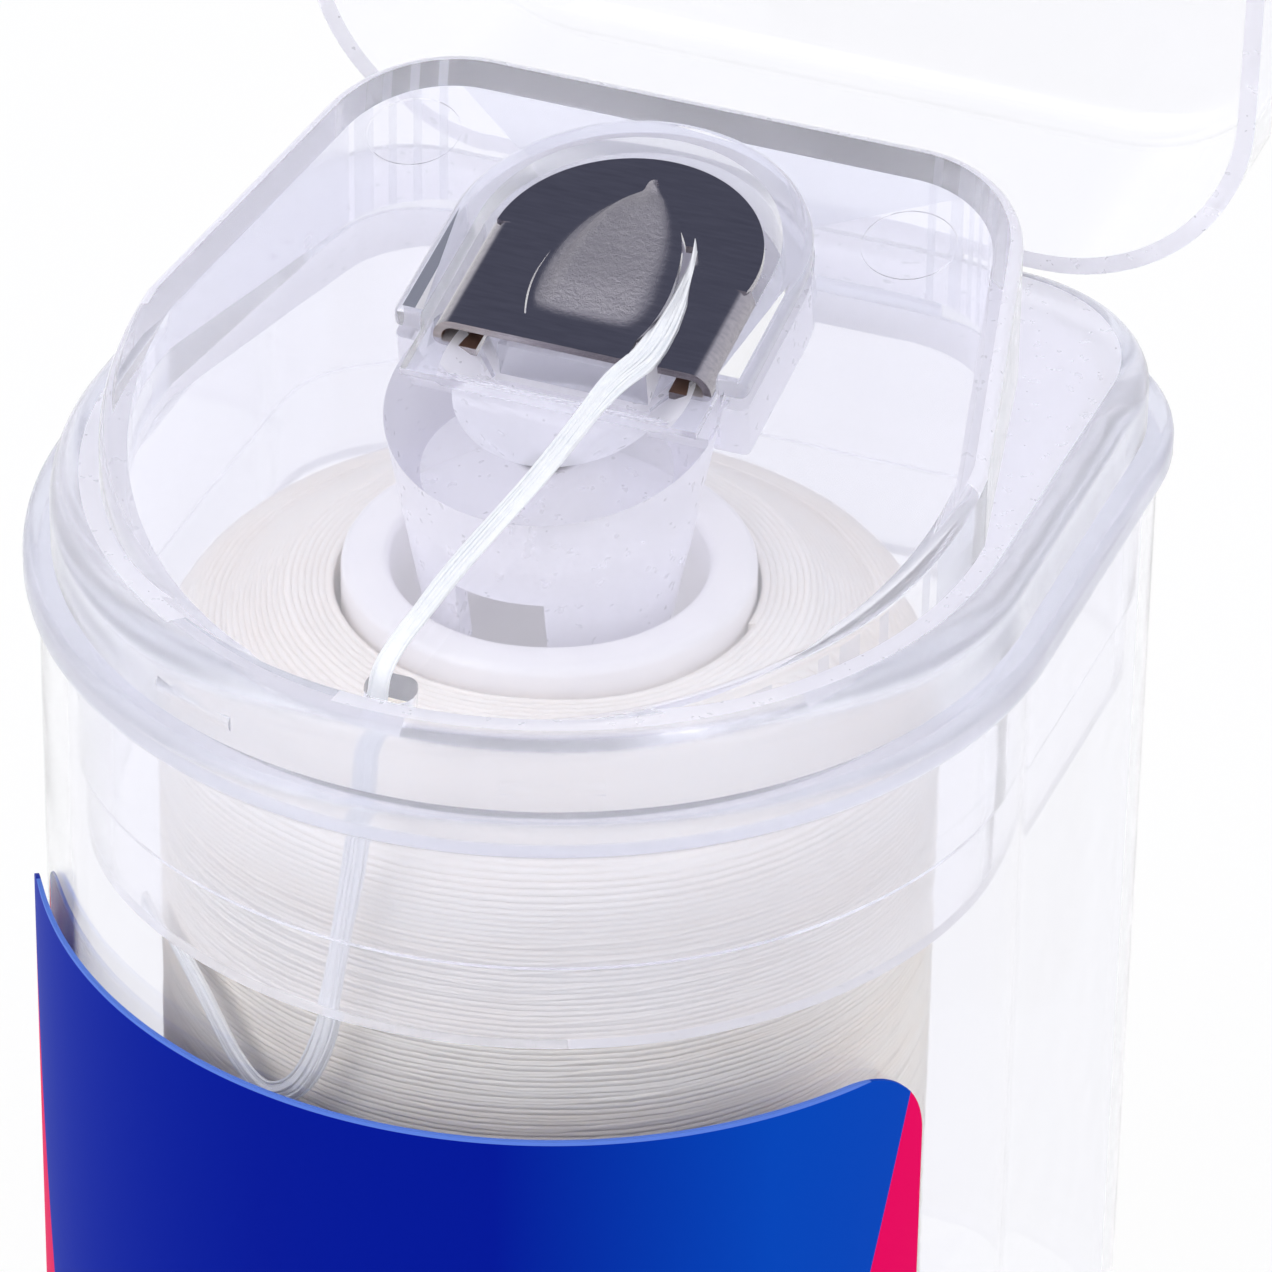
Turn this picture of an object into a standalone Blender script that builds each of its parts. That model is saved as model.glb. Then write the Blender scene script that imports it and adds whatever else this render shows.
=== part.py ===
# Dental floss dispenser: a clear flip-lid case with a floss bobbin and a steel cutter.
# World frame: Z up, the case stands on Z = 0, the bobbin's axis is the Z axis, and -Y is the front.
import math

import bmesh
import bpy
from mathutils import Matrix, Vector

MM = 0.001

# Case, a D in plan: a round front and a squarer back
CASE_FRONT_RADIUS = 17.4 * MM
CASE_BACK = 19.2 * MM
CASE_CORNER_RADIUS = 6.4 * MM
CASE_WALL = 0.85 * MM
CASE_FLOOR = 1.1 * MM
CASE_HEIGHT = 38.3 * MM
CASE_BASE_RADIUS = 1.2 * MM
CASE_INNER_BASE_RADIUS = 0.6 * MM

# Boss on the case's floor, which guides the bobbin's lower end
BOSS_RADIUS = 4.9 * MM
BOSS_TIP_RADIUS = 4.4 * MM
BOSS_HEIGHT = 6.0 * MM
BOSS_ROOT_SINK = 0.4 * MM

# Clearances and overruns
SEAT_GAP = 0.3 * MM
CUT_OVERRUN = 1.0 * MM

# Deck insert: flange on the case's mouth, skirt in the case, raised rim and a sloped hood
FLANGE_OVERHANG = 0.6 * MM
FLANGE_THICKNESS = 1.4 * MM
FLANGE_EDGE_RADIUS = 0.3 * MM
SKIRT_UPPER_LENGTH = 5.2 * MM
SKIRT_LENGTH = 8.3 * MM
SKIRT_STEP = 0.25 * MM
SKIRT_WALL = 0.85 * MM
RIM_HEIGHT = 2.5 * MM
RIM_SET_BACK = 1.0 * MM
RIM_EDGE_RADIUS = 1.0 * MM
DECK_THICKNESS = 1.5 * MM
HOOD_SLOPE = 0.20
HOOD_HEIGHT_AT_AXIS = 2.45 * MM
HOOD_BACK = 14.7 * MM
HOOD_BACK_HALF_WIDTH = 12.2 * MM
HOOD_SPLAY_SHARE = 0.22
HOOD_LEDGE = 0.25 * MM
HOOD_SEAM = 0.06 * MM
HOOD_CORNER_RADIUS = 5.0 * MM
HOOD_EDGE_RADIUS = 1.1 * MM
HOOD_WALL = 1.0 * MM

# Outlet for the floss, a round-ended slot at the front of the rim
OUTLET_WIDTH = 1.8 * MM
OUTLET_WALL = 0.35 * MM
OUTLET_LENGTH = 2.4 * MM
OUTLET_DEPTH = 3.4 * MM

# Snap beads for the lid on the rim's front
BEAD_LENGTH = 3.4 * MM
BEAD_RADIUS = 0.45 * MM
BEAD_STAND_OUT = 0.13 * MM
BEAD_DROP = 1.75 * MM
BEAD_ANGLE = math.radians(22.0)

# Spindle under the hood, a split hollow plug that centres the bobbin's upper end
SPINDLE_TOP_RADIUS = 5.3 * MM
SPINDLE_TIP_RADIUS = 4.6 * MM
SPINDLE_WALL = 0.9 * MM
SPINDLE_REACH = 1.8 * MM
SPINDLE_SLOT_WIDTH = 3.2 * MM
SPINDLE_CROWN = 2.6 * MM

# Cutter, a stamped steel plate with folded sides and a raised tongue
CUTTER_WIDTH = 10.3 * MM
CUTTER_LENGTH = 10.15 * MM
CUTTER_STEEL = 0.30 * MM
CUTTER_FRONT = 1.8 * MM
CUTTER_LIFT = 0.90 * MM
CUTTER_FOLD_DROP = 1.90 * MM
CUTTER_FOLD_LIP = 1.55 * MM
CUTTER_FOLD_LENGTH = 4.6 * MM
CUTTER_EDGE_RADIUS = 0.45 * MM
TONGUE_WIDTH = 4.9 * MM
TONGUE_LENGTH = 6.8 * MM
TONGUE_BASE = 1.7 * MM
TONGUE_OFFSET = 0.35 * MM
TONGUE_TIP_WIDTH = 0.16 * MM
TONGUE_GAP = 0.30 * MM
TONGUE_LIFT = math.radians(8.0)
TONGUE_TWIST = math.radians(5.0)
TONGUE_CROWN = 0.35 * MM
TONGUE_POINT_POWER = 2.3
TONGUE_ROWS = 9
TONGUE_COLUMNS = 6

# Pad on the hood, a raised U that frames the cutter
PAD_MARGIN = 1.35 * MM
PAD_RISE = 0.75 * MM
PAD_EDGE_RADIUS = 0.3 * MM
PAD_POCKET_DEPTH = 2.25 * MM
PAD_FLOOR = 1.6 * MM
ISLAND_WIDTH = 5.4 * MM
PAD_SLOT_WIDTH = 2.2 * MM
PAD_SLOT_HEIGHT = 0.8 * MM
PAD_SLOT_OFFSET = 4.3 * MM
PAD_SLOT_DEPTH = 1.1 * MM

# Lid, a shallow cap of the flange's outline, on a living hinge behind it
LID_HEIGHT = 10.6 * MM
LID_WALL = 0.7 * MM
LID_TOP = 0.85 * MM
LID_EDGE_RADIUS = 1.6 * MM
LID_INNER_EDGE_RADIUS = 0.8 * MM
LID_DRAFT = 0.25 * MM
LID_OPEN_ANGLE = math.radians(92.0)
THUMB_TAB_WIDTH = 9.0 * MM
THUMB_TAB_REACH = 1.1 * MM
THUMB_TAB_THICKNESS = 0.9 * MM
THUMB_TAB_RADIUS = 0.9 * MM
HINGE_OFFSET = 0.55 * MM
HINGE_WIDTH = 17.0 * MM
HINGE_LIP_THICKNESS = 0.5 * MM

# Bobbin
CORE_RADIUS = 7.1 * MM
CORE_BORE_RADIUS = 5.45 * MM
CORE_TOP = 38.5 * MM
CORE_CHAMFER = 0.35 * MM
CORE_FLOOR_GAP = 0.3 * MM

# Floss on the bobbin: a plain body under one outer layer of turns
FLOSS_RADIUS = 13.5 * MM
FLOSS_BOTTOM = 3.4 * MM
FLOSS_TOP = 36.1 * MM
FLOSS_SHOULDER_RADIUS = 2.2 * MM
TURN_DIAMETER = 0.72 * MM
TURN_COUNT = 23
TURN_POINTS = 24
TURN_MARGIN = 2.3 * MM

# Loose strand, from beside the bobbin through the outlet and up the hood to the cutter
STRAND_DIAMETER = 0.6 * MM
STRAND_SPACING = 1.5 * MM
STRAND_ROUTE = [
    Vector((-10.85, -9.10, 27.9)) * MM, Vector((-7.70, -12.05, 26.9)) * MM,
    Vector((-5.90, -13.25, 25.3)) * MM, Vector((-4.50, -13.85, 24.6)) * MM,
    Vector((-3.15, -14.25, 25.6)) * MM, Vector((-2.15, -14.42, 28.0)) * MM,
    Vector((-1.50, -14.50, 31.6)) * MM, Vector((-0.85, -14.50, 35.4)) * MM,
    Vector((-0.35, -14.55, 38.4)) * MM, Vector((-0.10, -15.20, 40.4)) * MM,
    Vector((0.00, -15.85, 41.7)) * MM, Vector((0.02, -15.80, 42.5)) * MM,
    Vector((0.06, -15.05, 42.9)) * MM, Vector((0.25, -13.20, 43.2)) * MM,
    Vector((0.55, -10.60, 43.8)) * MM, Vector((1.45, -4.80, 45.2)) * MM,
    Vector((1.95, -0.20, 46.35)) * MM, Vector((2.10, 2.40, 46.95)) * MM,
    Vector((2.15, 5.00, 47.45)) * MM, Vector((2.20, 7.20, 47.88)) * MM]

# Front label, a thin film round the case
LABEL_THICKNESS = 0.15 * MM
LABEL_TOP = 26.0 * MM
LABEL_BOTTOM = 3.2 * MM
LABEL_HALF_ANGLE = math.radians(67.0)
LABEL_CORNER_RADIUS = 2.3 * MM

# Fineness of the round shapes
FRONT_STEPS = 32
CORNER_STEPS = 6
ROUND_STEPS = 48
EDGE_STEPS = 3

# Levels and outlines that follow from the sizes above
FLANGE_UNDER = CASE_HEIGHT + SEAT_GAP
FLANGE_TOP = FLANGE_UNDER + FLANGE_THICKNESS
RIM_TOP = FLANGE_TOP + RIM_HEIGHT
SKIRT_SET_IN = CASE_WALL + SEAT_GAP
HINGE_Y = CASE_BACK + FLANGE_OVERHANG + HINGE_OFFSET
HINGE_Z = FLANGE_TOP + SEAT_GAP / 2
HOOD_TILT = math.atan(HOOD_SLOPE)
SPINDLE_TIP = CORE_TOP - SPINDLE_REACH

for old in list(bpy.data.objects):
    bpy.data.objects.remove(old)

parts = bpy.data.collections.new("floss_dispenser")
cutters = bpy.data.collections.new("cutters")
bpy.context.scene.collection.children.link(parts)
bpy.context.scene.collection.children.link(cutters)


def material(name, colour, roughness, metallic=0.0, alpha=1.0):
    made = bpy.data.materials.new(name)
    made.use_nodes = True
    shader = made.node_tree.nodes["Principled BSDF"]
    shader.inputs["Base Color"].default_value = (*colour, 1.0)
    shader.inputs["Roughness"].default_value = roughness
    shader.inputs["Metallic"].default_value = metallic
    shader.inputs["Alpha"].default_value = alpha
    return made


def add_object(name, mesh, finish=None):
    made = bpy.data.objects.new(name, mesh)
    parts.objects.link(made)
    if finish is not None:
        mesh.materials.append(finish)
    return made


def add_tool(name, mesh):
    made = bpy.data.objects.new(name, mesh)
    cutters.objects.link(made)
    made.hide_render = True
    made.display_type = "WIRE"
    return made


def combine(target, tool, operation):
    step = target.modifiers.new(operation.lower() + "_" + tool.name, "BOOLEAN")
    step.operation = operation
    step.object = tool
    step.solver = "EXACT"


def smooth(mesh, angle=35.0):
    mesh.shade_smooth()
    mesh.set_sharp_from_angle(angle=math.radians(angle))


# Outlines and lofts
def arc(centre, radius, start, end, steps):
    return [(centre[0] + radius * math.cos(start + (end - start) * k / steps),
             centre[1] + radius * math.sin(start + (end - start) * k / steps))
            for k in range(steps + 1)]


def d_outline(inset):
    """The case's D outline, moved in by inset, counter-clockwise from the left of the front arc."""
    radius = CASE_FRONT_RADIUS - inset
    back = CASE_BACK - inset
    corner = CASE_CORNER_RADIUS - inset
    points = arc((0, 0), radius, math.pi, 2 * math.pi, FRONT_STEPS)
    points += arc((radius - corner, back - corner), corner, 0, math.pi / 2, CORNER_STEPS)
    points += arc((corner - radius, back - corner), corner, math.pi / 2, math.pi, CORNER_STEPS)
    return points


def loft(name, rings, caps=(True, True)):
    """A skin through rings of equal count, listed from the bottom up, closed by two caps."""
    mesh = bpy.data.meshes.new(name)
    skin = bmesh.new()
    rows = [[skin.verts.new(point) for point in ring] for ring in rings]
    count = len(rows[0])
    for lower, upper in zip(rows, rows[1:]):
        for k in range(count):
            after = (k + 1) % count
            skin.faces.new((lower[k], lower[after], upper[after], upper[k]))
    if caps[0]:
        skin.faces.new(rows[0][::-1])
    if caps[1]:
        skin.faces.new(rows[-1])
    skin.to_mesh(mesh)
    skin.free()
    smooth(mesh)
    return mesh


def d_rings(profile):
    """Rings of the D outline for (inset, height) pairs."""
    return [[(x, y, height) for x, y in d_outline(inset)] for inset, height in profile]


def round_edge(inset, height, radius, inset_sign, height_sign, steps=EDGE_STEPS):
    """A quarter round from the side wall at inset to the level at height, as (inset, height) pairs."""
    pairs = []
    for k in range(steps + 1):
        angle = math.pi / 2 * k / steps
        pairs.append((inset + inset_sign * radius * (1 - math.cos(angle)),
                      height - height_sign * radius * (1 - math.sin(angle))))
    return pairs


def turned(name, profile, finish=None, tool=False, steps=ROUND_STEPS):
    """A turned solid about Z from a closed (radius, height) outline that runs top to bottom outside."""
    mesh = bpy.data.meshes.new(name)
    line = bmesh.new()
    verts = [line.verts.new((radius, 0, height)) for radius, height in profile]
    for first, second in zip(verts, verts[1:]):
        line.edges.new((first, second))
    if profile[0][0] > 0:
        line.edges.new((verts[-1], verts[0]))
    line.to_mesh(mesh)
    line.free()
    made = add_tool(name, mesh) if tool else add_object(name, mesh, finish)
    screw = made.modifiers.new("turn", "SCREW")
    screw.steps = steps
    screw.render_steps = steps
    screw.use_merge_vertices = True
    screw.merge_threshold = 0.00001
    screw.use_smooth_shade = True
    return made


def prism(name, outline, bottom, top):
    """A straight prism of a plan outline, counter-clockwise, between two levels."""
    return loft(name, [[(x, y, bottom) for x, y in outline], [(x, y, top) for x, y in outline]])


def bevel(target, width, segments=EDGE_STEPS, angle=40.0):
    step = target.modifiers.new("edges", "BEVEL")
    step.width = width
    step.segments = segments
    step.limit_method = "ANGLE"
    step.angle_limit = math.radians(angle)
    return step


def block(name, size, centre):
    made = bmesh.new()
    bmesh.ops.create_cube(made, size=1.0)
    bmesh.ops.scale(made, vec=Vector(size), verts=made.verts)
    bmesh.ops.translate(made, vec=Vector(centre), verts=made.verts)
    mesh = bpy.data.meshes.new(name)
    made.to_mesh(mesh)
    made.free()
    return mesh


clear_plastic = material("clear_polypropylene", (0.86, 0.88, 0.94), 0.12, alpha=0.35)
frosted_plastic = material("clear_insert", (0.86, 0.88, 0.95), 0.22, alpha=0.4)
white_plastic = material("white_core", (0.88, 0.89, 0.93), 0.45)
waxed_floss = material("waxed_floss", (0.86, 0.83, 0.79), 0.7)
steel = material("stamped_steel", (0.42, 0.41, 0.43), 0.22, metallic=1.0)
printed_film = material("printed_film", (0.0, 0.03, 0.45), 0.3)


# Case body
def make_case():
    outer = [(CASE_BASE_RADIUS - inset, CASE_BASE_RADIUS - rise)
             for inset, rise in ((CASE_BASE_RADIUS * math.sin(math.pi / 2 * k / EDGE_STEPS),
                                  CASE_BASE_RADIUS * math.cos(math.pi / 2 * k / EDGE_STEPS))
                                 for k in range(EDGE_STEPS + 1))]
    outer.append((0, CASE_HEIGHT))
    inner_low = CASE_FLOOR + CASE_INNER_BASE_RADIUS
    inner = [(CASE_WALL, CASE_HEIGHT), (CASE_WALL, inner_low),
             (CASE_WALL + CASE_INNER_BASE_RADIUS, CASE_FLOOR)]
    case = add_object("case_body", loft("case_body", d_rings(outer + inner)), clear_plastic)
    boss = turned("boss_blank", [(0, CASE_FLOOR + BOSS_HEIGHT), (BOSS_TIP_RADIUS, CASE_FLOOR + BOSS_HEIGHT),
                                 (BOSS_RADIUS, CASE_FLOOR - BOSS_ROOT_SINK), (0, CASE_FLOOR - BOSS_ROOT_SINK)],
                  tool=True)
    combine(case, boss, "UNION")


# Deck insert
def hood_level(y):
    return RIM_TOP + HOOD_HEIGHT_AT_AXIS + HOOD_SLOPE * y


def hood_outline(inset):
    """The hood's plan: a front arc just inside the rim, splayed sides and a rounded back."""
    radius = CASE_FRONT_RADIUS + FLANGE_OVERHANG - RIM_SET_BACK - RIM_EDGE_RADIUS - HOOD_LEDGE - inset
    corner = HOOD_CORNER_RADIUS - inset
    lean = math.atan(HOOD_SPLAY_SHARE)
    centre_y = HOOD_BACK - HOOD_CORNER_RADIUS
    side_x = HOOD_BACK_HALF_WIDTH + HOOD_SPLAY_SHARE * (HOOD_BACK - centre_y)
    centre_x = side_x - HOOD_CORNER_RADIUS / math.cos(lean)
    right = arc((centre_x, centre_y), corner, lean, math.pi / 2, CORNER_STEPS)
    # The side runs straight from the corner until it meets the front arc
    start = Vector(right[0])
    down = Vector((math.sin(lean), -math.cos(lean)))
    along = start.dot(down)
    meet = start + down * (math.sqrt(along ** 2 - start.length_squared + radius ** 2) - along)
    sweep = math.atan2(meet.y, meet.x)
    front = arc((0, 0), radius, -math.pi - sweep, sweep, FRONT_STEPS)
    left = [(-x, y) for x, y in right[::-1]]
    return front + right + left


def hood_prism(name, inset, bottom, drop):
    """A prism of the hood's outline whose top follows the slope, drop below the hood's plane."""
    outline = hood_outline(inset)
    return loft(name, [[(x, y, bottom) for x, y in outline],
                       [(x, y, hood_level(y) - drop) for x, y in outline]])


def tilted(points, height_from_hood):
    """Plan points laid on the hood's slope, height_from_hood above it, square to the slope."""
    turn = Matrix.Rotation(HOOD_TILT, 3, "X")
    base = Vector((0, 0, hood_level(0)))
    return [base + turn @ Vector((x, y / math.cos(HOOD_TILT), height_from_hood)) for x, y in points]


def cutter_outline(margin, front_margin):
    """The cutter's plan with its half-round back, grown by margin, counter-clockwise."""
    radius = CUTTER_WIDTH / 2 + margin
    centre_y = CUTTER_FRONT + CUTTER_LENGTH - CUTTER_WIDTH / 2
    front = CUTTER_FRONT - front_margin
    return [(-radius, front), (radius, front)] + arc((0, centre_y), radius, 0, math.pi, 2 * CORNER_STEPS)


def slope_prism(name, outline, bottom, top):
    """A prism square to the hood's slope between two heights above it."""
    return loft(name, [tilted(outline, bottom), tilted(outline, top)])


def make_insert():
    skirt_low = FLANGE_UNDER - SKIRT_LENGTH
    skirt_mid = FLANGE_UNDER - SKIRT_UPPER_LENGTH
    low_inset = SKIRT_SET_IN + SKIRT_STEP
    rim_inset = RIM_SET_BACK - FLANGE_OVERHANG
    profile = [(low_inset, skirt_low), (low_inset, skirt_mid), (SKIRT_SET_IN, skirt_mid),
               (SKIRT_SET_IN, FLANGE_UNDER), (-FLANGE_OVERHANG + FLANGE_EDGE_RADIUS, FLANGE_UNDER),
               (-FLANGE_OVERHANG, FLANGE_UNDER + FLANGE_EDGE_RADIUS),
               (-FLANGE_OVERHANG, FLANGE_TOP - FLANGE_EDGE_RADIUS),
               (-FLANGE_OVERHANG + FLANGE_EDGE_RADIUS, FLANGE_TOP), (rim_inset, FLANGE_TOP)]
    profile += round_edge(rim_inset, RIM_TOP, RIM_EDGE_RADIUS, 1, 1)
    insert = add_object("deck_insert", loft("deck_insert", d_rings(profile)), frosted_plastic)

    # Front recess inside the rim, then the hood on the deck
    rising = hood_outline(-HOOD_SEAM)
    recess = add_tool("recess_cutter", loft("recess_cutter", [
        [(x, y, hood_level(y) - HOOD_SEAM) for x, y in rising],
        [(x, y, hood_level(HOOD_BACK) + CUT_OVERRUN) for x, y in rising]]))
    combine(insert, recess, "DIFFERENCE")
    hood = add_tool("hood_blank", hood_prism("hood_blank", 0, RIM_TOP - DECK_THICKNESS, 0))
    bevel(hood, HOOD_EDGE_RADIUS)
    combine(insert, hood, "UNION")

    # The hollow inside: the skirt's bore, and the hood's hollow above it
    bore_inset = SKIRT_SET_IN + SKIRT_STEP + SKIRT_WALL
    bore = add_tool("skirt_bore", loft("skirt_bore", d_rings([
        (bore_inset, skirt_low - CUT_OVERRUN), (bore_inset, RIM_TOP - DECK_THICKNESS)])))
    combine(insert, bore, "DIFFERENCE")
    hollow = add_tool("hood_hollow", hood_prism("hood_hollow", HOOD_WALL, FLANGE_UNDER, HOOD_WALL))
    combine(insert, hollow, "DIFFERENCE")

    # Pad through the hood, its pocket, and an island that carries the cutter's plate
    pocket_floor = PAD_RISE - PAD_POCKET_DEPTH
    pad = add_tool("pad_blank", slope_prism("pad_blank", cutter_outline(PAD_MARGIN, SEAT_GAP),
                                            pocket_floor - PAD_FLOOR, PAD_RISE))
    bevel(pad, PAD_EDGE_RADIUS, segments=2)
    combine(insert, pad, "UNION")
    pocket = add_tool("pad_pocket", slope_prism("pad_pocket", cutter_outline(SEAT_GAP, SEAT_GAP + CUT_OVERRUN),
                                                pocket_floor, PAD_RISE + CUT_OVERRUN))
    combine(insert, pocket, "DIFFERENCE")
    island_end = CUTTER_FRONT + CUTTER_FOLD_LENGTH
    half = ISLAND_WIDTH / 2
    island = add_tool("island", slope_prism("island", [
        (-half, CUTTER_FRONT), (half, CUTTER_FRONT), (half, island_end), (-half, island_end)],
        pocket_floor - PAD_FLOOR / 2, CUTTER_LIFT - CUTTER_STEEL - SEAT_GAP))
    combine(insert, island, "UNION")

    # Spindle: a tapered hollow plug, split front and back
    crown = RIM_TOP + SPINDLE_CROWN - DECK_THICKNESS
    spindle = turned("spindle_blank", [
        (SPINDLE_TOP_RADIUS, crown), (SPINDLE_TIP_RADIUS, SPINDLE_TIP),
        (SPINDLE_TIP_RADIUS - SPINDLE_WALL, SPINDLE_TIP), (SPINDLE_TOP_RADIUS - SPINDLE_WALL, crown)], tool=True)
    slot = add_tool("spindle_slot", block("spindle_slot", (
        SPINDLE_SLOT_WIDTH, 3 * SPINDLE_TOP_RADIUS, RIM_HEIGHT + SPINDLE_REACH + CORE_RADIUS),
        (0, 0, SPINDLE_TIP - CUT_OVERRUN)))
    combine(spindle, slot, "DIFFERENCE")
    trim = add_tool("spindle_trim", loft("spindle_trim", [
        [(x, y, RIM_TOP - DECK_THICKNESS - CORE_RADIUS - HOOD_BACK) for x, y in hood_outline(HOOD_WALL / 2)],
        [(x, y, hood_level(y) - HOOD_WALL / 2) for x, y in hood_outline(HOOD_WALL / 2)]]))
    combine(spindle, trim, "INTERSECT")
    combine(insert, spindle, "UNION")

    # Two round-ended slots in the pad's front face
    for side in (-1, 1):
        slot_low = pocket_floor - (PAD_FLOOR + PAD_SLOT_HEIGHT) / 2
        mesh = block("pad_slot", (PAD_SLOT_WIDTH, 2 * PAD_SLOT_DEPTH, PAD_SLOT_HEIGHT),
                     (side * PAD_SLOT_OFFSET, CUTTER_FRONT - SEAT_GAP, slot_low + PAD_SLOT_HEIGHT / 2))
        notch = add_tool("pad_slot_" + ("left" if side < 0 else "right"), mesh)
        notch.location = (0, 0, hood_level(0))
        notch.rotation_euler = (HOOD_TILT, 0, 0)
        combine(insert, notch, "DIFFERENCE")

    # Outlet slot through the rim's front, open to the hollow below
    outlet_front = -(CASE_FRONT_RADIUS + FLANGE_OVERHANG - RIM_SET_BACK - OUTLET_WALL)
    radius = OUTLET_WIDTH / 2
    ends = (outlet_front + radius, outlet_front + OUTLET_LENGTH - radius)
    outline = arc((0, ends[0]), radius, math.pi, 2 * math.pi, CORNER_STEPS)
    outline += arc((0, ends[1]), radius, 0, math.pi, CORNER_STEPS)
    outlet = add_tool("outlet_cutter", prism("outlet_cutter", outline, RIM_TOP - OUTLET_DEPTH,
                                             RIM_TOP + CUT_OVERRUN))
    combine(insert, outlet, "DIFFERENCE")

    # Snap beads for the lid, low on the rim's outer wall
    rim_radius = CASE_FRONT_RADIUS + FLANGE_OVERHANG - RIM_SET_BACK
    for side in (-1, 1):
        mesh = bpy.data.meshes.new("snap_bead")
        rod = bmesh.new()
        bmesh.ops.create_cone(rod, cap_ends=True, segments=8, radius1=BEAD_RADIUS, radius2=BEAD_RADIUS,
                              depth=BEAD_LENGTH)
        rod.to_mesh(mesh)
        rod.free()
        bead = add_tool("snap_bead_" + ("left" if side < 0 else "right"), mesh)
        reach = rim_radius - BEAD_RADIUS + BEAD_STAND_OUT
        bead.location = (side * reach * math.sin(BEAD_ANGLE), -reach * math.cos(BEAD_ANGLE), RIM_TOP - BEAD_DROP)
        bead.rotation_euler = (0, math.pi / 2, side * BEAD_ANGLE)
        combine(insert, bead, "UNION")

    # Hinge lip behind the flange
    lip = add_tool("insert_lip", block("insert_lip", (
        HINGE_WIDTH, FLANGE_EDGE_RADIUS + HINGE_OFFSET, HINGE_LIP_THICKNESS),
        (0, HINGE_Y - SEAT_GAP / 2 - (FLANGE_EDGE_RADIUS + HINGE_OFFSET) / 2,
         FLANGE_TOP - HINGE_LIP_THICKNESS / 2 - SEAT_GAP / 2)))
    combine(insert, lip, "UNION")


# Lid, modelled closed round its hinge axis, and turned open by the empty that carries it
def make_lid():
    axis = bpy.data.objects.new("lid_hinge_axis", None)
    parts.objects.link(axis)
    axis.location = (0, HINGE_Y, HINGE_Z)
    axis.rotation_euler = (-LID_OPEN_ANGLE, 0, 0)
    low = FLANGE_TOP + SEAT_GAP
    top = low + LID_HEIGHT
    outer_inset = -FLANGE_OVERHANG
    profile = [(outer_inset, low)]
    profile += round_edge(outer_inset + LID_DRAFT, top, LID_EDGE_RADIUS, 1, 1, EDGE_STEPS + 1)
    inner = round_edge(outer_inset + LID_DRAFT + LID_WALL, top - LID_TOP, LID_INNER_EDGE_RADIUS, 1, 1)
    profile += inner[::-1] + [(outer_inset + LID_WALL, low)]
    rings = [[(x, y - HINGE_Y, z - HINGE_Z) for x, y, z in ring] for ring in d_rings(profile)]
    lid = add_object("lid", shell_loft("lid", rings, len(profile) - len(inner) - 1), clear_plastic)
    lid.parent = axis

    # Thumb tab at the front, and the hinge lip at the back
    front = -(CASE_FRONT_RADIUS + FLANGE_OVERHANG)
    tab_depth = THUMB_TAB_REACH + LID_WALL
    outline = arc((0, 0), THUMB_TAB_WIDTH / 2, math.pi, 2 * math.pi, 2 * CORNER_STEPS)
    squash = tab_depth / (THUMB_TAB_WIDTH / 2)
    tab_outline = [(x, y * squash + front + LID_WALL / 2 - HINGE_Y) for x, y in outline]
    tab = add_tool("thumb_tab", loft("thumb_tab", [
        [(x, y, low - HINGE_Z) for x, y in tab_outline],
        [(x, y, low - HINGE_Z + THUMB_TAB_THICKNESS) for x, y in tab_outline]]))
    lip = add_tool("lid_lip", block("lid_lip", (
        HINGE_WIDTH, LID_WALL / 2 + HINGE_OFFSET, HINGE_LIP_THICKNESS),
        (0, -SEAT_GAP / 2 - (LID_WALL / 2 + HINGE_OFFSET) / 2,
         low - HINGE_Z + HINGE_LIP_THICKNESS / 2)))
    for tool in (tab, lip):
        tool.parent = axis
        combine(lid, tool, "UNION")


def shell_loft(name, rings, turn):
    """A cup's skin: outer rings up to the crown at turn, then inner rings back down to the mouth."""
    mesh = bpy.data.meshes.new(name)
    skin = bmesh.new()
    rows = [[skin.verts.new(point) for point in ring] for ring in rings]
    count = len(rows[0])
    for index, (lower, upper) in enumerate(zip(rows, rows[1:] + rows[:1])):
        if index == turn - 1:
            continue
        for k in range(count):
            after = (k + 1) % count
            skin.faces.new((lower[k], lower[after], upper[after], upper[k]))
    skin.faces.new(rows[turn - 1])
    skin.faces.new(rows[turn][::-1])
    skin.to_mesh(mesh)
    skin.free()
    smooth(mesh)
    return mesh


# Cutter, modelled flat and laid on the hood's slope
def tongue_half_width(share):
    full = TONGUE_WIDTH / 2
    return max(full * (1 - share ** TONGUE_POINT_POWER), TONGUE_TIP_WIDTH / 2)


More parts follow.
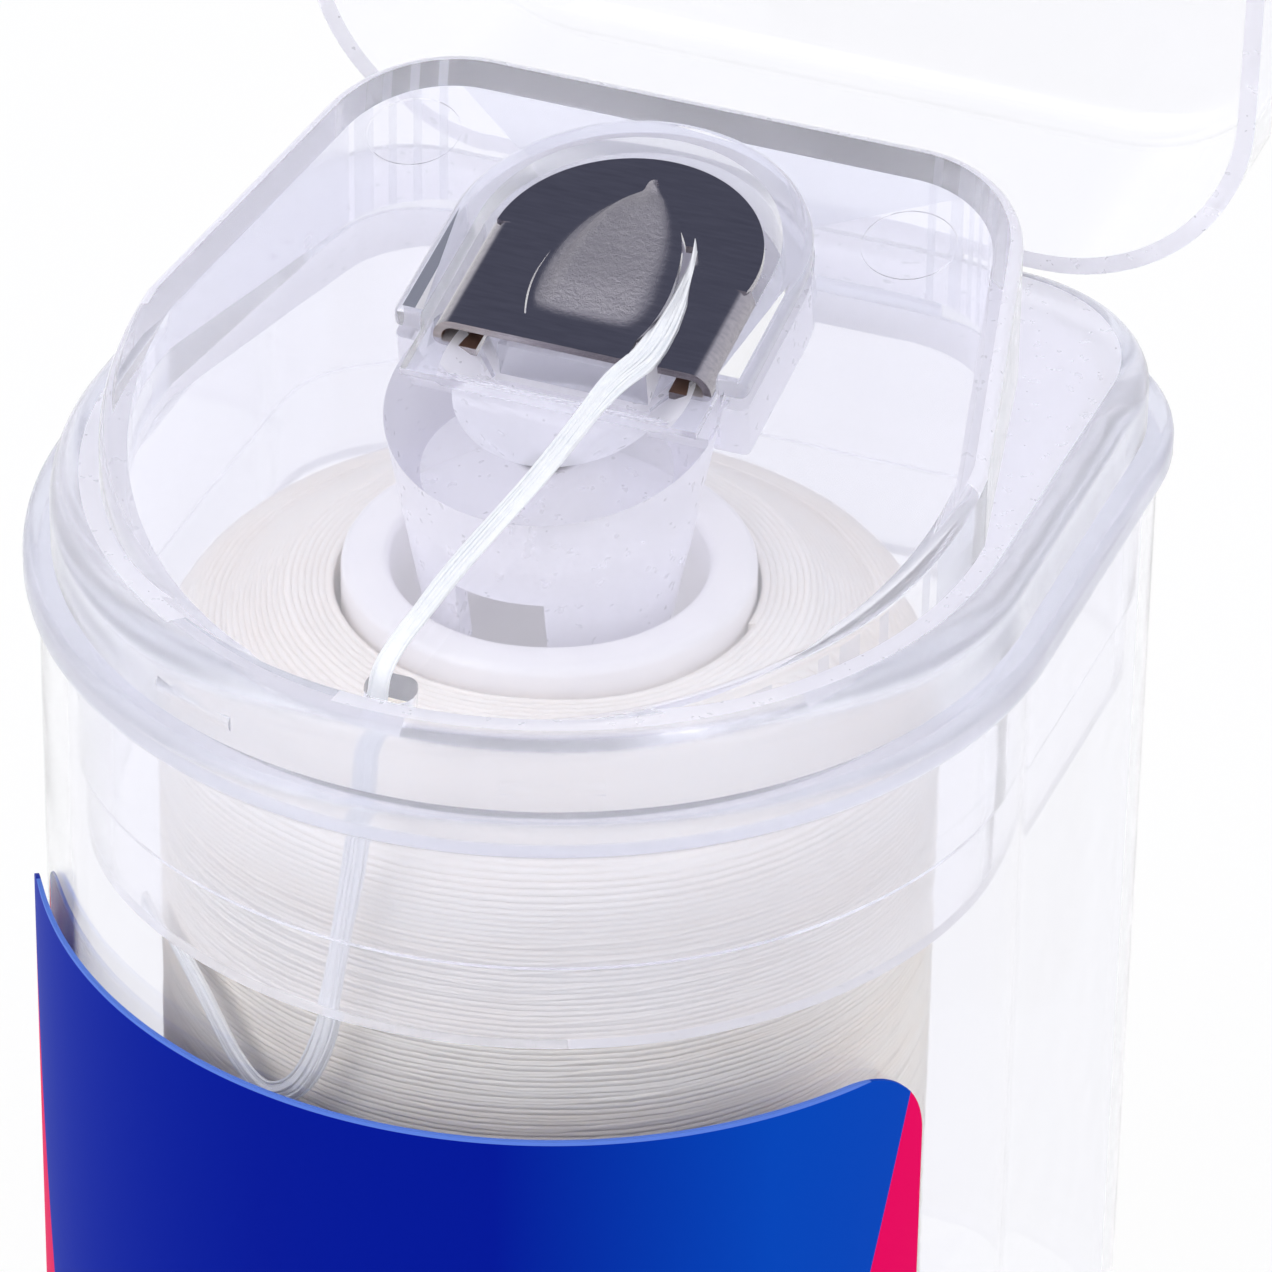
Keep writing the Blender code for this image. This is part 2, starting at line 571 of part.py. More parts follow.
def make_cutter():
    top = CUTTER_LIFT
    under = CUTTER_LIFT - CUTTER_STEEL
    outline = cutter_outline(0, 0)
    cutter = add_object("cutter", loft("cutter", [[(x, y, under) for x, y in outline],
                                                  [(x, y, top) for x, y in outline]]), steel)
    base = CUTTER_FRONT + TONGUE_BASE

    # Folded side: down the edge and back under the plate
    half = CUTTER_WIDTH / 2
    low = top - CUTTER_FOLD_DROP
    section = [(half - CUTTER_FOLD_LIP, low), (half - CUTTER_EDGE_RADIUS, low), (half, low + CUTTER_EDGE_RADIUS),
               (half, top - CUTTER_EDGE_RADIUS), (half - CUTTER_EDGE_RADIUS, top),
               (half - CUTTER_FOLD_LIP, top), (half - CUTTER_FOLD_LIP, under),
               (half - CUTTER_STEEL, under), (half - CUTTER_STEEL, low + CUTTER_STEEL),
               (half - CUTTER_FOLD_LIP, low + CUTTER_STEEL)]
    corner = add_tool("corner_cutter", loft("corner_cutter", [
        [(side * half * 2, y, z) for side, y, z in (
            (-1, CUTTER_FRONT - CUT_OVERRUN, low), (1, CUTTER_FRONT - CUT_OVERRUN, low),
            (1, CUTTER_FRONT + CUTTER_FOLD_LENGTH, low), (-1, CUTTER_FRONT + CUTTER_FOLD_LENGTH, low))],
        [(side * half * 2, y, z) for side, y, z in (
            (-1, CUTTER_FRONT - CUT_OVERRUN, top + CUT_OVERRUN), (1, CUTTER_FRONT - CUT_OVERRUN, top + CUT_OVERRUN),
            (1, CUTTER_FRONT + CUTTER_FOLD_LENGTH, top + CUT_OVERRUN),
            (-1, CUTTER_FRONT + CUTTER_FOLD_LENGTH, top + CUT_OVERRUN))]]))
    middle = half - CUTTER_FOLD_LIP / 2
    keep = add_tool("corner_keep", block("corner_keep", (
        2 * middle, 2 * CUTTER_LENGTH, 2 * CUTTER_LENGTH), (0, CUTTER_FRONT, 0)))
    combine(corner, keep, "DIFFERENCE")
    combine(cutter, corner, "DIFFERENCE")
    for side in (-1, 1):
        ends = [[(side * x, y, z) for x, z in section]
                for y in (CUTTER_FRONT, CUTTER_FRONT + CUTTER_FOLD_LENGTH)]
        if side < 0:
            ends = ends[::-1]
        fold = add_tool("fold_" + ("left" if side < 0 else "right"), loft("fold", ends[::-1]))
        combine(cutter, fold, "UNION")

    # Window round the tongue, then the tongue itself, lifted and twisted about its root
    shares = [row / TONGUE_ROWS for row in range(TONGUE_ROWS + 1)]
    right = [(tongue_half_width(share) + TONGUE_GAP - TONGUE_OFFSET, base + share * TONGUE_LENGTH)
             for share in shares]
    left = [(-2 * TONGUE_OFFSET - x, y) for x, y in right[::-1]]
    tip = [(-TONGUE_OFFSET, base + TONGUE_LENGTH + TONGUE_GAP)]
    window = add_tool("tongue_window", prism("tongue_window", right + tip + left, under - CUT_OVERRUN,
                                             top + CUT_OVERRUN))
    combine(cutter, window, "DIFFERENCE")
    mesh = bpy.data.meshes.new("tongue")
    sheet = bmesh.new()
    rows = []
    root = -TONGUE_GAP
    for share in shares:
        along = root + share * (TONGUE_LENGTH - root)
        half = tongue_half_width(share)
        row = []
        for column in range(TONGUE_COLUMNS + 1):
            across = half * (2 * column / TONGUE_COLUMNS - 1)
            raised = TONGUE_CROWN * math.sin(math.pi * share) * (1 - (across / half) ** 2)
            rise = max(along, 0) * math.tan(TONGUE_LIFT) + across * share * math.tan(TONGUE_TWIST)
            row.append(sheet.verts.new((across - TONGUE_OFFSET, base + along, under + rise + raised)))
        rows.append(row)
    for lower, upper in zip(rows, rows[1:]):
        for k in range(TONGUE_COLUMNS):
            sheet.faces.new((lower[k], lower[k + 1], upper[k + 1], upper[k]))
    sheet.to_mesh(mesh)
    sheet.free()
    tongue = add_tool("tongue", mesh)
    thick = tongue.modifiers.new("steel", "SOLIDIFY")
    thick.thickness = CUTTER_STEEL
    thick.offset = 1
    combine(cutter, tongue, "UNION")
    for piece in [cutter] + [step.object for step in cutter.modifiers] + [keep]:
        piece.location = (0, 0, hood_level(0))
        piece.rotation_euler = (HOOD_TILT, 0, 0)


# Bobbin: a plain white tube, the floss body on it and the outer layer of turns
def make_bobbin():
    axis = bpy.data.objects.new("bobbin_axis", None)
    parts.objects.link(axis)
    bottom = CASE_FLOOR + CORE_FLOOR_GAP
    c = CORE_CHAMFER
    core = turned("bobbin_core", [
        (CORE_RADIUS - c, CORE_TOP), (CORE_RADIUS, CORE_TOP - c), (CORE_RADIUS, bottom + c),
        (CORE_RADIUS - c, bottom), (CORE_BORE_RADIUS + c, bottom), (CORE_BORE_RADIUS, bottom + c),
        (CORE_BORE_RADIUS, CORE_TOP - c), (CORE_BORE_RADIUS + c, CORE_TOP)], white_plastic)
    body_radius = FLOSS_RADIUS - TURN_DIAMETER - SEAT_GAP
    shoulder = FLOSS_SHOULDER_RADIUS
    upper = arc((body_radius - shoulder, FLOSS_TOP - shoulder), shoulder, math.pi / 2, 0, EDGE_STEPS)
    lower = arc((body_radius - shoulder, FLOSS_BOTTOM + shoulder), shoulder, 0, -math.pi / 2, EDGE_STEPS)
    hole = CORE_RADIUS + SEAT_GAP
    body = turned("floss_winding", [(hole, FLOSS_TOP)] + upper + lower + [(hole, FLOSS_BOTTOM)], waxed_floss)

    turn_radius = FLOSS_RADIUS - TURN_DIAMETER / 2
    low = FLOSS_BOTTOM + TURN_MARGIN
    high = FLOSS_TOP - TURN_MARGIN
    count = TURN_COUNT * TURN_POINTS
    points = []
    for k in range(count + 1):
        angle = 2 * math.pi * k / TURN_POINTS
        level = low + (high - low) * k / count
        points.append(Vector((turn_radius * math.cos(angle), turn_radius * math.sin(angle), level)))
    points.insert(0, points[0] + Vector((0, -TURN_DIAMETER, 0)))
    points.append(points[-1] + Vector((0, TURN_DIAMETER, 0)))
    turns = tube("floss_turns", points, TURN_DIAMETER, 1, waxed_floss)
    for piece in (core, body, turns):
        piece.parent = axis
    report_least_gap(points[1:-1])


def report_least_gap(points):
    """Prints the least gap of the winding's tube to itself, from points over half a turn apart."""
    least = min((points[a] - points[b]).length for a in range(0, len(points), 3)
                for b in range(a + TURN_POINTS // 2, min(a + 2 * TURN_POINTS, len(points))))
    print("least gap between turns, mm:", round((least - TURN_DIAMETER) / MM, 3))


def tube(name, points, diameter, fineness, finish):
    """A solid tube with flat ends through points."""
    curve = bpy.data.curves.new(name, "CURVE")
    curve.dimensions = "3D"
    curve.bevel_depth = diameter / 2
    curve.bevel_resolution = fineness
    curve.use_fill_caps = True
    line = curve.splines.new("POLY")
    line.points.add(len(points) - 1)
    for point, place in zip(line.points, points):
        point.co = (*place, 1)
    curve.materials.append(finish)
    made = bpy.data.objects.new(name, curve)
    parts.objects.link(made)
    return made


def smooth_route(places, spacing):
    """Points a spacing apart or less on a smooth curve through the places."""
    ends = [2 * places[0] - places[1]] + places + [2 * places[-1] - places[-2]]
    points = []
    for before, start, end, after in zip(ends, ends[1:], ends[2:], ends[3:]):
        count = max(2, math.ceil((end - start).length / spacing))
        for k in range(count):
            t = k / count
            points.append(0.5 * (2 * start + (end - before) * t
                                 + (2 * before - 5 * start + 4 * end - after) * t ** 2
                                 + (3 * start - before - 3 * end + after) * t ** 3))
    return points + [places[-1]]


# Front label, a bent film with round corners
def make_label():
    radius = CASE_FRONT_RADIUS + SEAT_GAP
    half_arc = radius * LABEL_HALF_ANGLE
    corner = LABEL_CORNER_RADIUS
    mesh = bpy.data.meshes.new("front_label")
    sheet = bmesh.new()
    right = sorted({round(half_arc - corner + corner * math.sin(math.pi / 2 * k / CORNER_STEPS), 9)
                    for k in range(CORNER_STEPS + 1)})
    flat = [(half_arc - corner) * (2 * k / FRONT_STEPS - 1) for k in range(1, FRONT_STEPS)]
    columns = [-x for x in right[::-1]] + flat + right
    pairs = []
    for place in columns:
        past = max(abs(place) - (half_arc - corner), 0)
        cut = corner - math.sqrt(max(corner ** 2 - past ** 2, 0))
        angle = place / radius - math.pi / 2
        x = radius * math.cos(angle)
        y = radius * math.sin(angle)
        pairs.append((sheet.verts.new((x, y, LABEL_BOTTOM + cut)), sheet.verts.new((x, y, LABEL_TOP - cut))))
    for first, second in zip(pairs, pairs[1:]):
        sheet.faces.new((first[0], second[0], second[1], first[1]))
    sheet.to_mesh(mesh)
    sheet.free()
    smooth(mesh)
    label = add_object("front_label", mesh, printed_film)
    film = label.modifiers.new("film", "SOLIDIFY")
    film.thickness = LABEL_THICKNESS
    film.offset = 1


make_case()
make_insert()
make_lid()
make_cutter()
make_bobbin()
tube("floss_strand", smooth_route(STRAND_ROUTE, STRAND_SPACING), STRAND_DIAMETER, 2, waxed_floss)
make_label()
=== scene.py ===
import random
from math import acos, asin, atan, atan2, ceil, cos, hypot, pi, radians, sin, sqrt

import bmesh
import bpy
from mathutils import Matrix, Vector, noise


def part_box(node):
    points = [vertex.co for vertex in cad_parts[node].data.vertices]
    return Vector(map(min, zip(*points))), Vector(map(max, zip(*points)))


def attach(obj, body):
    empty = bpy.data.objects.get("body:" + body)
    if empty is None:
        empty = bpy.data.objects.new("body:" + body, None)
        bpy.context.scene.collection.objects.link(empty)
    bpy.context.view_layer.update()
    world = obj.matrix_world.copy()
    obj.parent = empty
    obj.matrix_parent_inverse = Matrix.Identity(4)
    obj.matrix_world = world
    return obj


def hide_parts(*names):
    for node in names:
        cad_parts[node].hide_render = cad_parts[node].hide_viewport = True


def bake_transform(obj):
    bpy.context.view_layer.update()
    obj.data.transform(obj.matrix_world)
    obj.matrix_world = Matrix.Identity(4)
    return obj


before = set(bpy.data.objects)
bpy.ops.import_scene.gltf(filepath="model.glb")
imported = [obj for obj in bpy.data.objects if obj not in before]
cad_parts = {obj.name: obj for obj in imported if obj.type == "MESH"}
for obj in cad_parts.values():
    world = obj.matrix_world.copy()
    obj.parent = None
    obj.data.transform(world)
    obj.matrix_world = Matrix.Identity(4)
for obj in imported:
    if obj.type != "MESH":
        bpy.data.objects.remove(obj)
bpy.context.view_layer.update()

MM = 0.001


# The room is a white table under a white sky, with two soft lamps and one grey card behind and above.
# The card shows in mirrored rays alone: the steel turns dark, and what is seen through plastic stays pale.
FLOOR_HALF_SIDE = 4.0
FLOOR_WHITE_SHARE = 0.93
SKY_SHARES = [(0.0, "#FFFFFF"), (0.45, "#F9F9FD"), (1.0, "#E6E7F0")]
CARD_DIRECTION = (-0.295, 0.502, 0.812)
CARD_SHARES = [(0.0, "#000000"), (0.80, "#000000"), (0.93, "#FFFFFF"), (1.0, "#FFFFFF")]
CARD_COLOUR = "#6A6E80"
LAMP_AIM = Vector((0, 0, 0.03))
LAMPS = [("soft_key", (-0.34, -0.42, 0.50), 0.42, 1.15), ("soft_fill", (0.46, -0.12, 0.34), 0.30, 0.42)]


def linear(code):
    """An sRGB hex colour as linear red, green, blue and alpha."""
    parts = [int(code[place:place + 2], 16) / 255 for place in (1, 3, 5)]
    return (*[part / 12.92 if part <= 0.04045 else ((part + 0.055) / 1.055) ** 2.4 for part in parts], 1.0)


def add_node(tree, kind, inputs=None, **settings):
    """A node with its settings, and for each input a value, an output or a node for its first output."""
    made = tree.nodes.new(kind)
    for name, value in settings.items():
        setattr(made, name, value)
    for name, value in (inputs or {}).items():
        if isinstance(value, bpy.types.Node):
            value = value.outputs[0]
        if isinstance(value, bpy.types.NodeSocket):
            tree.links.new(value, made.inputs[name])
        else:
            made.inputs[name].default_value = value
    return made


def calculate(tree, operation, *values, **settings):
    return add_node(tree, "ShaderNodeMath", dict(enumerate(values)), operation=operation, **settings)


def only_mirrored(tree, path):
    """Whether the ray was mirrored last and not bent through something clear."""
    return calculate(tree, "SUBTRACT", path.outputs["Is Glossy Ray"], path.outputs["Is Transmission Ray"],
        use_clamp=True)


def spots(tree, source, wide, detail=2.0, roughness=0.5):
    """Noise in spots this wide."""
    return add_node(tree, "ShaderNodeTexNoise", {"Vector": source, "Scale": 1 / wide, "Detail": detail,
        "Roughness": roughness})


def bumps(tree, relief, strength, deep=0.05 * MM):
    return add_node(tree, "ShaderNodeBump", {"Height": relief, "Strength": strength, "Distance": deep})


def two_tones(tree, share, first, second):
    return add_node(tree, "ShaderNodeMixRGB", {"Fac": share, "Color1": linear(first), "Color2": linear(second)})


def between(tree, share, low, high):
    return add_node(tree, "ShaderNodeMapRange", {"Value": share, "To Min": low, "To Max": high})


def principled(tree, inputs):
    return add_node(tree, "ShaderNodeBsdfPrincipled", inputs)


def ramp(tree, share, stops):
    """A colour ramp over a share, from (position, hex colour) stops."""
    made = add_node(tree, "ShaderNodeValToRGB", {"Fac": share})
    points = made.color_ramp.elements
    while len(points) < len(stops):
        points.new(1.0)
    for point, (place, colour) in zip(points, stops):
        point.position = place
        point.color = linear(colour)
    return made


def empty_material(name):
    made = bpy.data.materials.new(name)
    made.use_nodes = True
    made.node_tree.nodes.clear()
    return made, made.node_tree


def show(tree, shader):
    add_node(tree, "ShaderNodeOutputMaterial", {"Surface": shader})


def link(made):
    bpy.context.scene.collection.objects.link(made)
    return made


def own_place(tree):
    return add_node(tree, "ShaderNodeTexCoord").outputs["Object"]


sky = bpy.data.worlds.new("white_sky")
scene = bpy.context.scene
scene.world = sky
sky.use_nodes = True
tree = sky.node_tree
tree.nodes.clear()
heading = add_node(tree, "ShaderNodeTexCoord")
height = add_node(tree, "ShaderNodeSeparateXYZ", {"Vector": heading.outputs["Generated"]})
dome = ramp(tree, height.outputs["Z"], SKY_SHARES)
nearness = add_node(tree, "ShaderNodeVectorMath", {0: heading.outputs["Generated"], 1: CARD_DIRECTION},
    operation="DOT_PRODUCT")
card = ramp(tree, nearness.outputs["Value"], CARD_SHARES)
ray = add_node(tree, "ShaderNodeLightPath")
mirrored = only_mirrored(tree, ray)
shown = calculate(tree, "MULTIPLY", card, mirrored)
above = add_node(tree, "ShaderNodeMixRGB", {"Fac": shown, "Color1": dome, "Color2": linear(CARD_COLOUR)})
glow = add_node(tree, "ShaderNodeBackground", {"Color": above, "Strength": 1.0})
add_node(tree, "ShaderNodeOutputWorld", {"Surface": glow})

painted_table, tree = empty_material("painted_white_table")
path = add_node(tree, "ShaderNodeLightPath")
seen = calculate(tree, "MAXIMUM", path.outputs["Is Camera Ray"], path.outputs["Is Glossy Ray"])
seen = calculate(tree, "MAXIMUM", seen, path.outputs["Is Transmission Ray"])
part_white = calculate(tree, "MULTIPLY", seen, FLOOR_WHITE_SHARE)
paint = principled(tree, {"Base Color": linear("#F4F4F6"), "Roughness": 0.7})
white = add_node(tree, "ShaderNodeEmission", {"Color": linear("#FFFFFF"), "Strength": 1.0})
table = add_node(tree, "ShaderNodeMixShader", {0: part_white, 1: paint, 2: white})
show(tree, table)

bpy.ops.mesh.primitive_plane_add(size=2 * FLOOR_HALF_SIDE)
floor = bpy.context.object
floor.name = "white_table"
floor.data.materials.append(painted_table)

for name, place, side, power in LAMPS:
    lamp = bpy.data.lights.new(name, "AREA")
    lamp.size = side
    lamp.energy = power
    carrier = bpy.data.objects.new(name, lamp)
    carrier.location = place
    carrier.rotation_euler = (LAMP_AIM - Vector(place)).to_track_quat("-Z", "Y").to_euler()
    link(carrier)

# The camera: a long lens 291 mm from the deck, turned a little to the right of the front and up
PICTURE_SIDE = 1272
FOCAL_PIXELS = 8628
PIXELS_PER_MM = 29.614
AIM_POINT = Vector((0, 0, 42.5)) * MM
AIM_PIXEL = (551.5, 463.3)
CAMERA_AZIMUTH = radians(20.81)
CAMERA_ELEVATION = radians(33.89)
CAMERA_ROLL = radians(0.92)
SENSOR = 36.0

turn = sin(CAMERA_AZIMUTH), cos(CAMERA_AZIMUTH)
lean = sin(CAMERA_ELEVATION), cos(CAMERA_ELEVATION)
right = Vector((turn[1], turn[0], 0))
ahead = Vector((-turn[0] * lean[1], turn[1] * lean[1], -lean[0]))
up = right.cross(ahead)
rolled_right = right * cos(CAMERA_ROLL) + up * sin(CAMERA_ROLL)
rolled_up = up * cos(CAMERA_ROLL) - right * sin(CAMERA_ROLL)
depth = FOCAL_PIXELS / PIXELS_PER_MM * MM
across = (AIM_PIXEL[0] - PICTURE_SIDE / 2) / FOCAL_PIXELS * depth
down = (AIM_PIXEL[1] - PICTURE_SIDE / 2) / FOCAL_PIXELS * depth
stand = AIM_POINT - rolled_right * across + rolled_up * down - ahead * depth
lens = bpy.data.cameras.new("long_lens")
lens.sensor_width = SENSOR
lens.lens = FOCAL_PIXELS / PICTURE_SIDE * SENSOR
lens.clip_start = depth / 20
lens.clip_end = depth * 40
camera = bpy.data.objects.new("long_lens", lens)
link(camera)
facing = Matrix((rolled_right, rolled_up, -ahead)).transposed().to_4x4()
camera.matrix_world = Matrix.Translation(stand) @ facing
scene.camera = camera
scene.view_settings.view_transform = "Standard"
# Light guided inside thin clear walls needs many inner reflections before it leaves
scene.cycles.transmission_bounces = 24
scene.cycles.glossy_bounces = 24
scene.cycles.diffuse_bounces = 10
scene.cycles.max_bounces = 28
scene.cycles.transparent_max_bounces = 24


# The case is injection-moulded clear polypropylene, a D in plan, under 1 mm thick.
# A boss on its floor guides the bobbin. Clear, it shows as pale lavender with brighter rounded edges.
CASE_RADIUS = 17.4 * MM
CASE_BACK = 19.0 * MM
CASE_CORNER = 7.0 * MM
CASE_WALL = 0.85 * MM
CASE_FLOOR = 1.1 * MM
CASE_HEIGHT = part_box("case_body")[1].z
CASE_BASE_ROUND = 1.2 * MM
LIP_RISE = 0.24 * MM
CASE_INNER_ROUND = 0.6 * MM
BOSS_RADIUS = 4.9 * MM
BOSS_TIP_RADIUS = 4.4 * MM
BOSS_TOP = CASE_FLOOR + 6.0 * MM
SINK = 0.4 * MM
OVERRUN = 1.0 * MM
SEAT_GAP = 0.3 * MM
ARC_STEPS = 112
CORNER_STEPS = 20
EDGE_STEPS = 6
ROUND_STEPS = 128


def arc(centre, radius, start, end, steps):
    return [(centre[0] + radius * cos(start + (end - start) * k / steps),
        centre[1] + radius * sin(start + (end - start) * k / steps)) for k in range(steps + 1)]


def quarter(steps):
    return [pi / 2 * k / steps for k in range(steps + 1)]


def d_outline(inset):
    """The case's D, moved in by inset, counter-clockwise from the left of the front arc."""
    radius = CASE_RADIUS - inset
    back = CASE_BACK - inset
    corner = CASE_CORNER - inset
    points = arc((0, 0), radius, pi, 2 * pi, ARC_STEPS)
    points += arc((radius - corner, back - corner), corner, 0, pi / 2, CORNER_STEPS)
    points += arc((corner - radius, back - corner), corner, pi / 2, pi, CORNER_STEPS)
    return points


def d_rings(profile):
    """Rings of the D for (inset, height) pairs."""
    return [[(x, y, level) for x, y in d_outline(inset)] for inset, level in profile]


def edge_round(inset, level, radius, steps=EDGE_STEPS):
    """A quarter round from an upright wall at inset in to the level at its top, as (inset, height) pairs."""
    return [(inset + radius * (1 - cos(a)), level - radius * (1 - sin(a))) for a in quarter(steps)]


def finished(name, made):
    """An object of a bmesh, which is freed."""
    mesh = bpy.data.meshes.new(name)
    made.to_mesh(mesh)
    made.free()
    return link(bpy.data.objects.new(name, mesh))


def add_quads(made, rows, closed=False):
    """Rows of points as vertices with quads between them, all the way round where closed."""
    rows = [[made.verts.new(point) for point in row] for row in rows]
    count = len(rows[0])
    for lower, upper in zip(rows, rows[1:]):
        for k in range(count if closed else count - 1):
            after = (k + 1) % count
            made.faces.new((lower[k], lower[after], upper[after], upper[k]))
    return rows


def skin(name, rings, crown=None):
    """An object skinned over rings of equal count. A cup's crown is its highest outer ring."""
    made = bmesh.new()
    rows = [[made.verts.new(point) for point in ring] for ring in rings]
    count = len(rows[0])
    for index, (lower, upper) in enumerate(zip(rows, rows[1:] + rows[:1])):
        if index == (len(rows) - 1 if crown is None else crown):
            continue
        for k in range(count):
            after = (k + 1) % count
            made.faces.new((lower[k], lower[after], upper[after], upper[k]))
    caps = (rows[0][::-1], rows[-1]) if crown is None else (rows[crown], rows[crown + 1][::-1])
    for cap in caps:
        made.faces.new(cap)
    return finished(name, made)


def prism(name, outline, low, high):
    """A solid over a plan outline between two levels, each a height or a function of y."""
    return skin(name, [[(x, y, level(y) if callable(level) else level) for x, y in outline]
        for level in (low, high)])


def turned(name, profile, steps=ROUND_STEPS):
    """A turned solid about Z from (radius, height) pairs that run down its outside."""
    line = bmesh.new()
    verts = [line.verts.new((radius, 0, level)) for radius, level in profile]
    for first, second in zip(verts, verts[1:]):
        line.edges.new((first, second))
    if profile[0][0] > 0:
        line.edges.new((verts[-1], verts[0]))
    made = finished(name, line)
    screw = made.modifiers.new("turn", "SCREW")
    screw.steps = steps
    screw.render_steps = steps
    screw.use_merge_vertices = True
    screw.merge_threshold = 0.01 * MM
    return made


def combine(target, tool, operation):
    step = target.modifiers.new(operation.lower(), "BOOLEAN")
    step.operation = operation
    step.object = tool
    step.solver = "EXACT"


def carve(target, tool):
    combine(target, tool, "DIFFERENCE")


def fuse(target, tool):
    combine(target, tool, "UNION")


def thicken(made, thickness, offset):
    step = made.modifiers.new("thick", "SOLIDIFY")
    step.thickness = thickness
    step.offset = offset


def evaluated_mesh(made):
    bpy.context.view_layer.update()
    return bpy.data.meshes.new_from_object(made.evaluated_get(bpy.context.evaluated_depsgraph_get()))


def applied(made, finish, sharp=32.0):
    """A plain mesh object at the origin in place of made: modifiers applied, smooth, flat faces kept flat."""
    tools = {step.object for step in made.modifiers if step.type == "BOOLEAN"}
    tools |= {step.object for tool in tools for step in tool.modifiers if step.type == "BOOLEAN"}
    mesh = evaluated_mesh(made)
    mesh.transform(made.matrix_world)
    name = made.name
    for old in [made, *tools]:
        bpy.data.objects.remove(old)
    mesh.materials.clear()
    mesh.materials.append(finish)
    mesh.shade_smooth()
    mesh.set_sharp_from_angle(angle=radians(sharp))
    plain = link(bpy.data.objects.new(name, mesh))
    normals = plain.modifiers.new("normals", "WEIGHTED_NORMAL")
    normals.keep_sharp = True
    plain.data = evaluated_mesh(plain)
    plain.modifiers.clear()
    plain.data.name = name
    return plain


def clear_moulding(name, tint, clarity, roughness, ripple):
    """Clear moulded plastic: glass of low index, faintly milky, rippled by its flow in the mould."""
    made, tree = empty_material(name)
    place = own_place(tree)
    # Flow ripples about 4 mm long and mould polish about 0.5 mm
    flow = spots(tree, place, 4 * MM, 1.0)
    polish = spots(tree, place, 0.5 * MM, 2.0)
    bump = bumps(tree, flow, ripple, 0.1 * MM)
    gloss = between(tree, polish, roughness * 0.6, roughness * 1.5)
    haze = between(tree, flow, clarity - 0.02, clarity + 0.02)
    plastic = principled(tree, {"Base Color": linear(tint), "Roughness": gloss, "Transmission Weight": haze,
        "IOR": 1.40, "Normal": bump})
    light = add_node(tree, "ShaderNodeLightPath")
    shade = add_node(tree, "ShaderNodeBsdfTransparent", {"Color": linear("#FFFFFF")})
    # A shadow, or a ray that has met nothing but a mirroring surface, passes straight through
    early = calculate(tree, "LESS_THAN", light.outputs["Ray Depth"], 1.5)
    mirrored = only_mirrored(tree, light)
    mirrored = calculate(tree, "MULTIPLY", mirrored, early)
    passing = calculate(tree, "MAXIMUM", light.outputs["Is Shadow Ray"], mirrored)
    mix = add_node(tree, "ShaderNodeMixShader", {0: passing, 1: plastic, 2: shade})
    show(tree, mix)
    return made


case_plastic = clear_moulding("clear_polypropylene", "#FBFBFE", 0.96, 0.03, 0.10)

bottom = [(CASE_BASE_ROUND * (1 - sin(a)), CASE_BASE_ROUND * (1 - cos(a))) for a in quarter(EDGE_STEPS)]
lip = edge_round(0, CASE_HEIGHT + LIP_RISE, CASE_WALL / 4, 3)
inner_lip = [(CASE_WALL - inset, level) for inset, level in lip[::-1]]
well = [(CASE_WALL + CASE_INNER_ROUND * (1 - cos(a)), CASE_FLOOR + CASE_INNER_ROUND * (1 - sin(a)))
    for a in quarter(EDGE_STEPS)]
clear_case = skin("clear_case", d_rings(bottom + lip + inner_lip + well))
boss = turned("boss", [(0, BOSS_TOP), (BOSS_TIP_RADIUS, BOSS_TOP), (BOSS_RADIUS, CASE_FLOOR - SINK),
    (0, CASE_FLOOR - SINK)])
fuse(clear_case, boss)
clear_case = applied(clear_case, case_plastic)
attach(clear_case, "case")
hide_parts("case_body")


# The insert is a second clear moulding that snaps into the case: flange, skirt, raised rim, sloped hood,
# pad for the cutter and a split spindle. Its rim is thick and frosted, its spindle milky.
OVERHANG = 0.5 * MM
FLANGE_THICKNESS = 1.4 * MM
FLANGE_ROUND = 0.45 * MM
SKIRT_UPPER = 5.2 * MM
SKIRT_LENGTH = 8.6 * MM
SKIRT_STEP = 0.25 * MM
SKIRT_WALL = 0.85 * MM
RIM_HEIGHT = 2.5 * MM
RIM_SET_BACK = 0.95 * MM
RIM_ROUND = 1.0 * MM
DECK = 1.5 * MM
HOOD_SLOPE = 0.23
HOOD_RISE = 2.92 * MM
HOOD_BACK = 14.7 * MM
HOOD_HALF_WIDTH = 13.0 * MM
HOOD_MEETING_ANGLE = radians(3.0)
HOOD_LEDGE = 0.70 * MM
HOOD_SEAM = 0.06 * MM
HOOD_CORNER = 5.0 * MM
HOOD_ROUND = 1.3 * MM
HOOD_WALL = 1.0 * MM
OUTLET_WIDTH = 1.8 * MM
OUTLET_RIM_GAP = 0.6 * MM
OUTLET_LENGTH = 1.2 * MM
OUTLET_CORNER = 0.55 * MM
OUTLET_DEPTH = 3.4 * MM
MARK_RADIUS = 1.65 * MM
MARK_DEPTH = 0.05 * MM
MARKS = [(-9.3 * MM, 10.3 * MM), (9.1 * MM, 9.9 * MM)]
BEAD_LENGTH = 3.4 * MM
BEAD_RADIUS = 0.45 * MM
BEAD_STAND_OUT = 0.03 * MM
BEAD_DROP = 1.6 * MM
BEAD_ANGLE = radians(22.0)
SPINDLE_TOP_RADIUS = 6.1 * MM
SPINDLE_TIP_RADIUS = 4.3 * MM
SPINDLE_WALL = 0.9 * MM
SPINDLE_TIP = 36.7 * MM
SPINDLE_SLOT = 3.2 * MM
SPINDLE_CROWN = 5.4 * MM
CUTTER_SLOPE = 0.20
CUTTER_RISE = 2.45 * MM
CUTTER_WIDTH = 10.1 * MM
CUTTER_LENGTH = 10.15 * MM
CUTTER_STEEL = 0.30 * MM
CUTTER_FRONT = 1.8 * MM
CUTTER_LIFT = 0.90 * MM
CUTTER_FOLD_LENGTH = 4.6 * MM
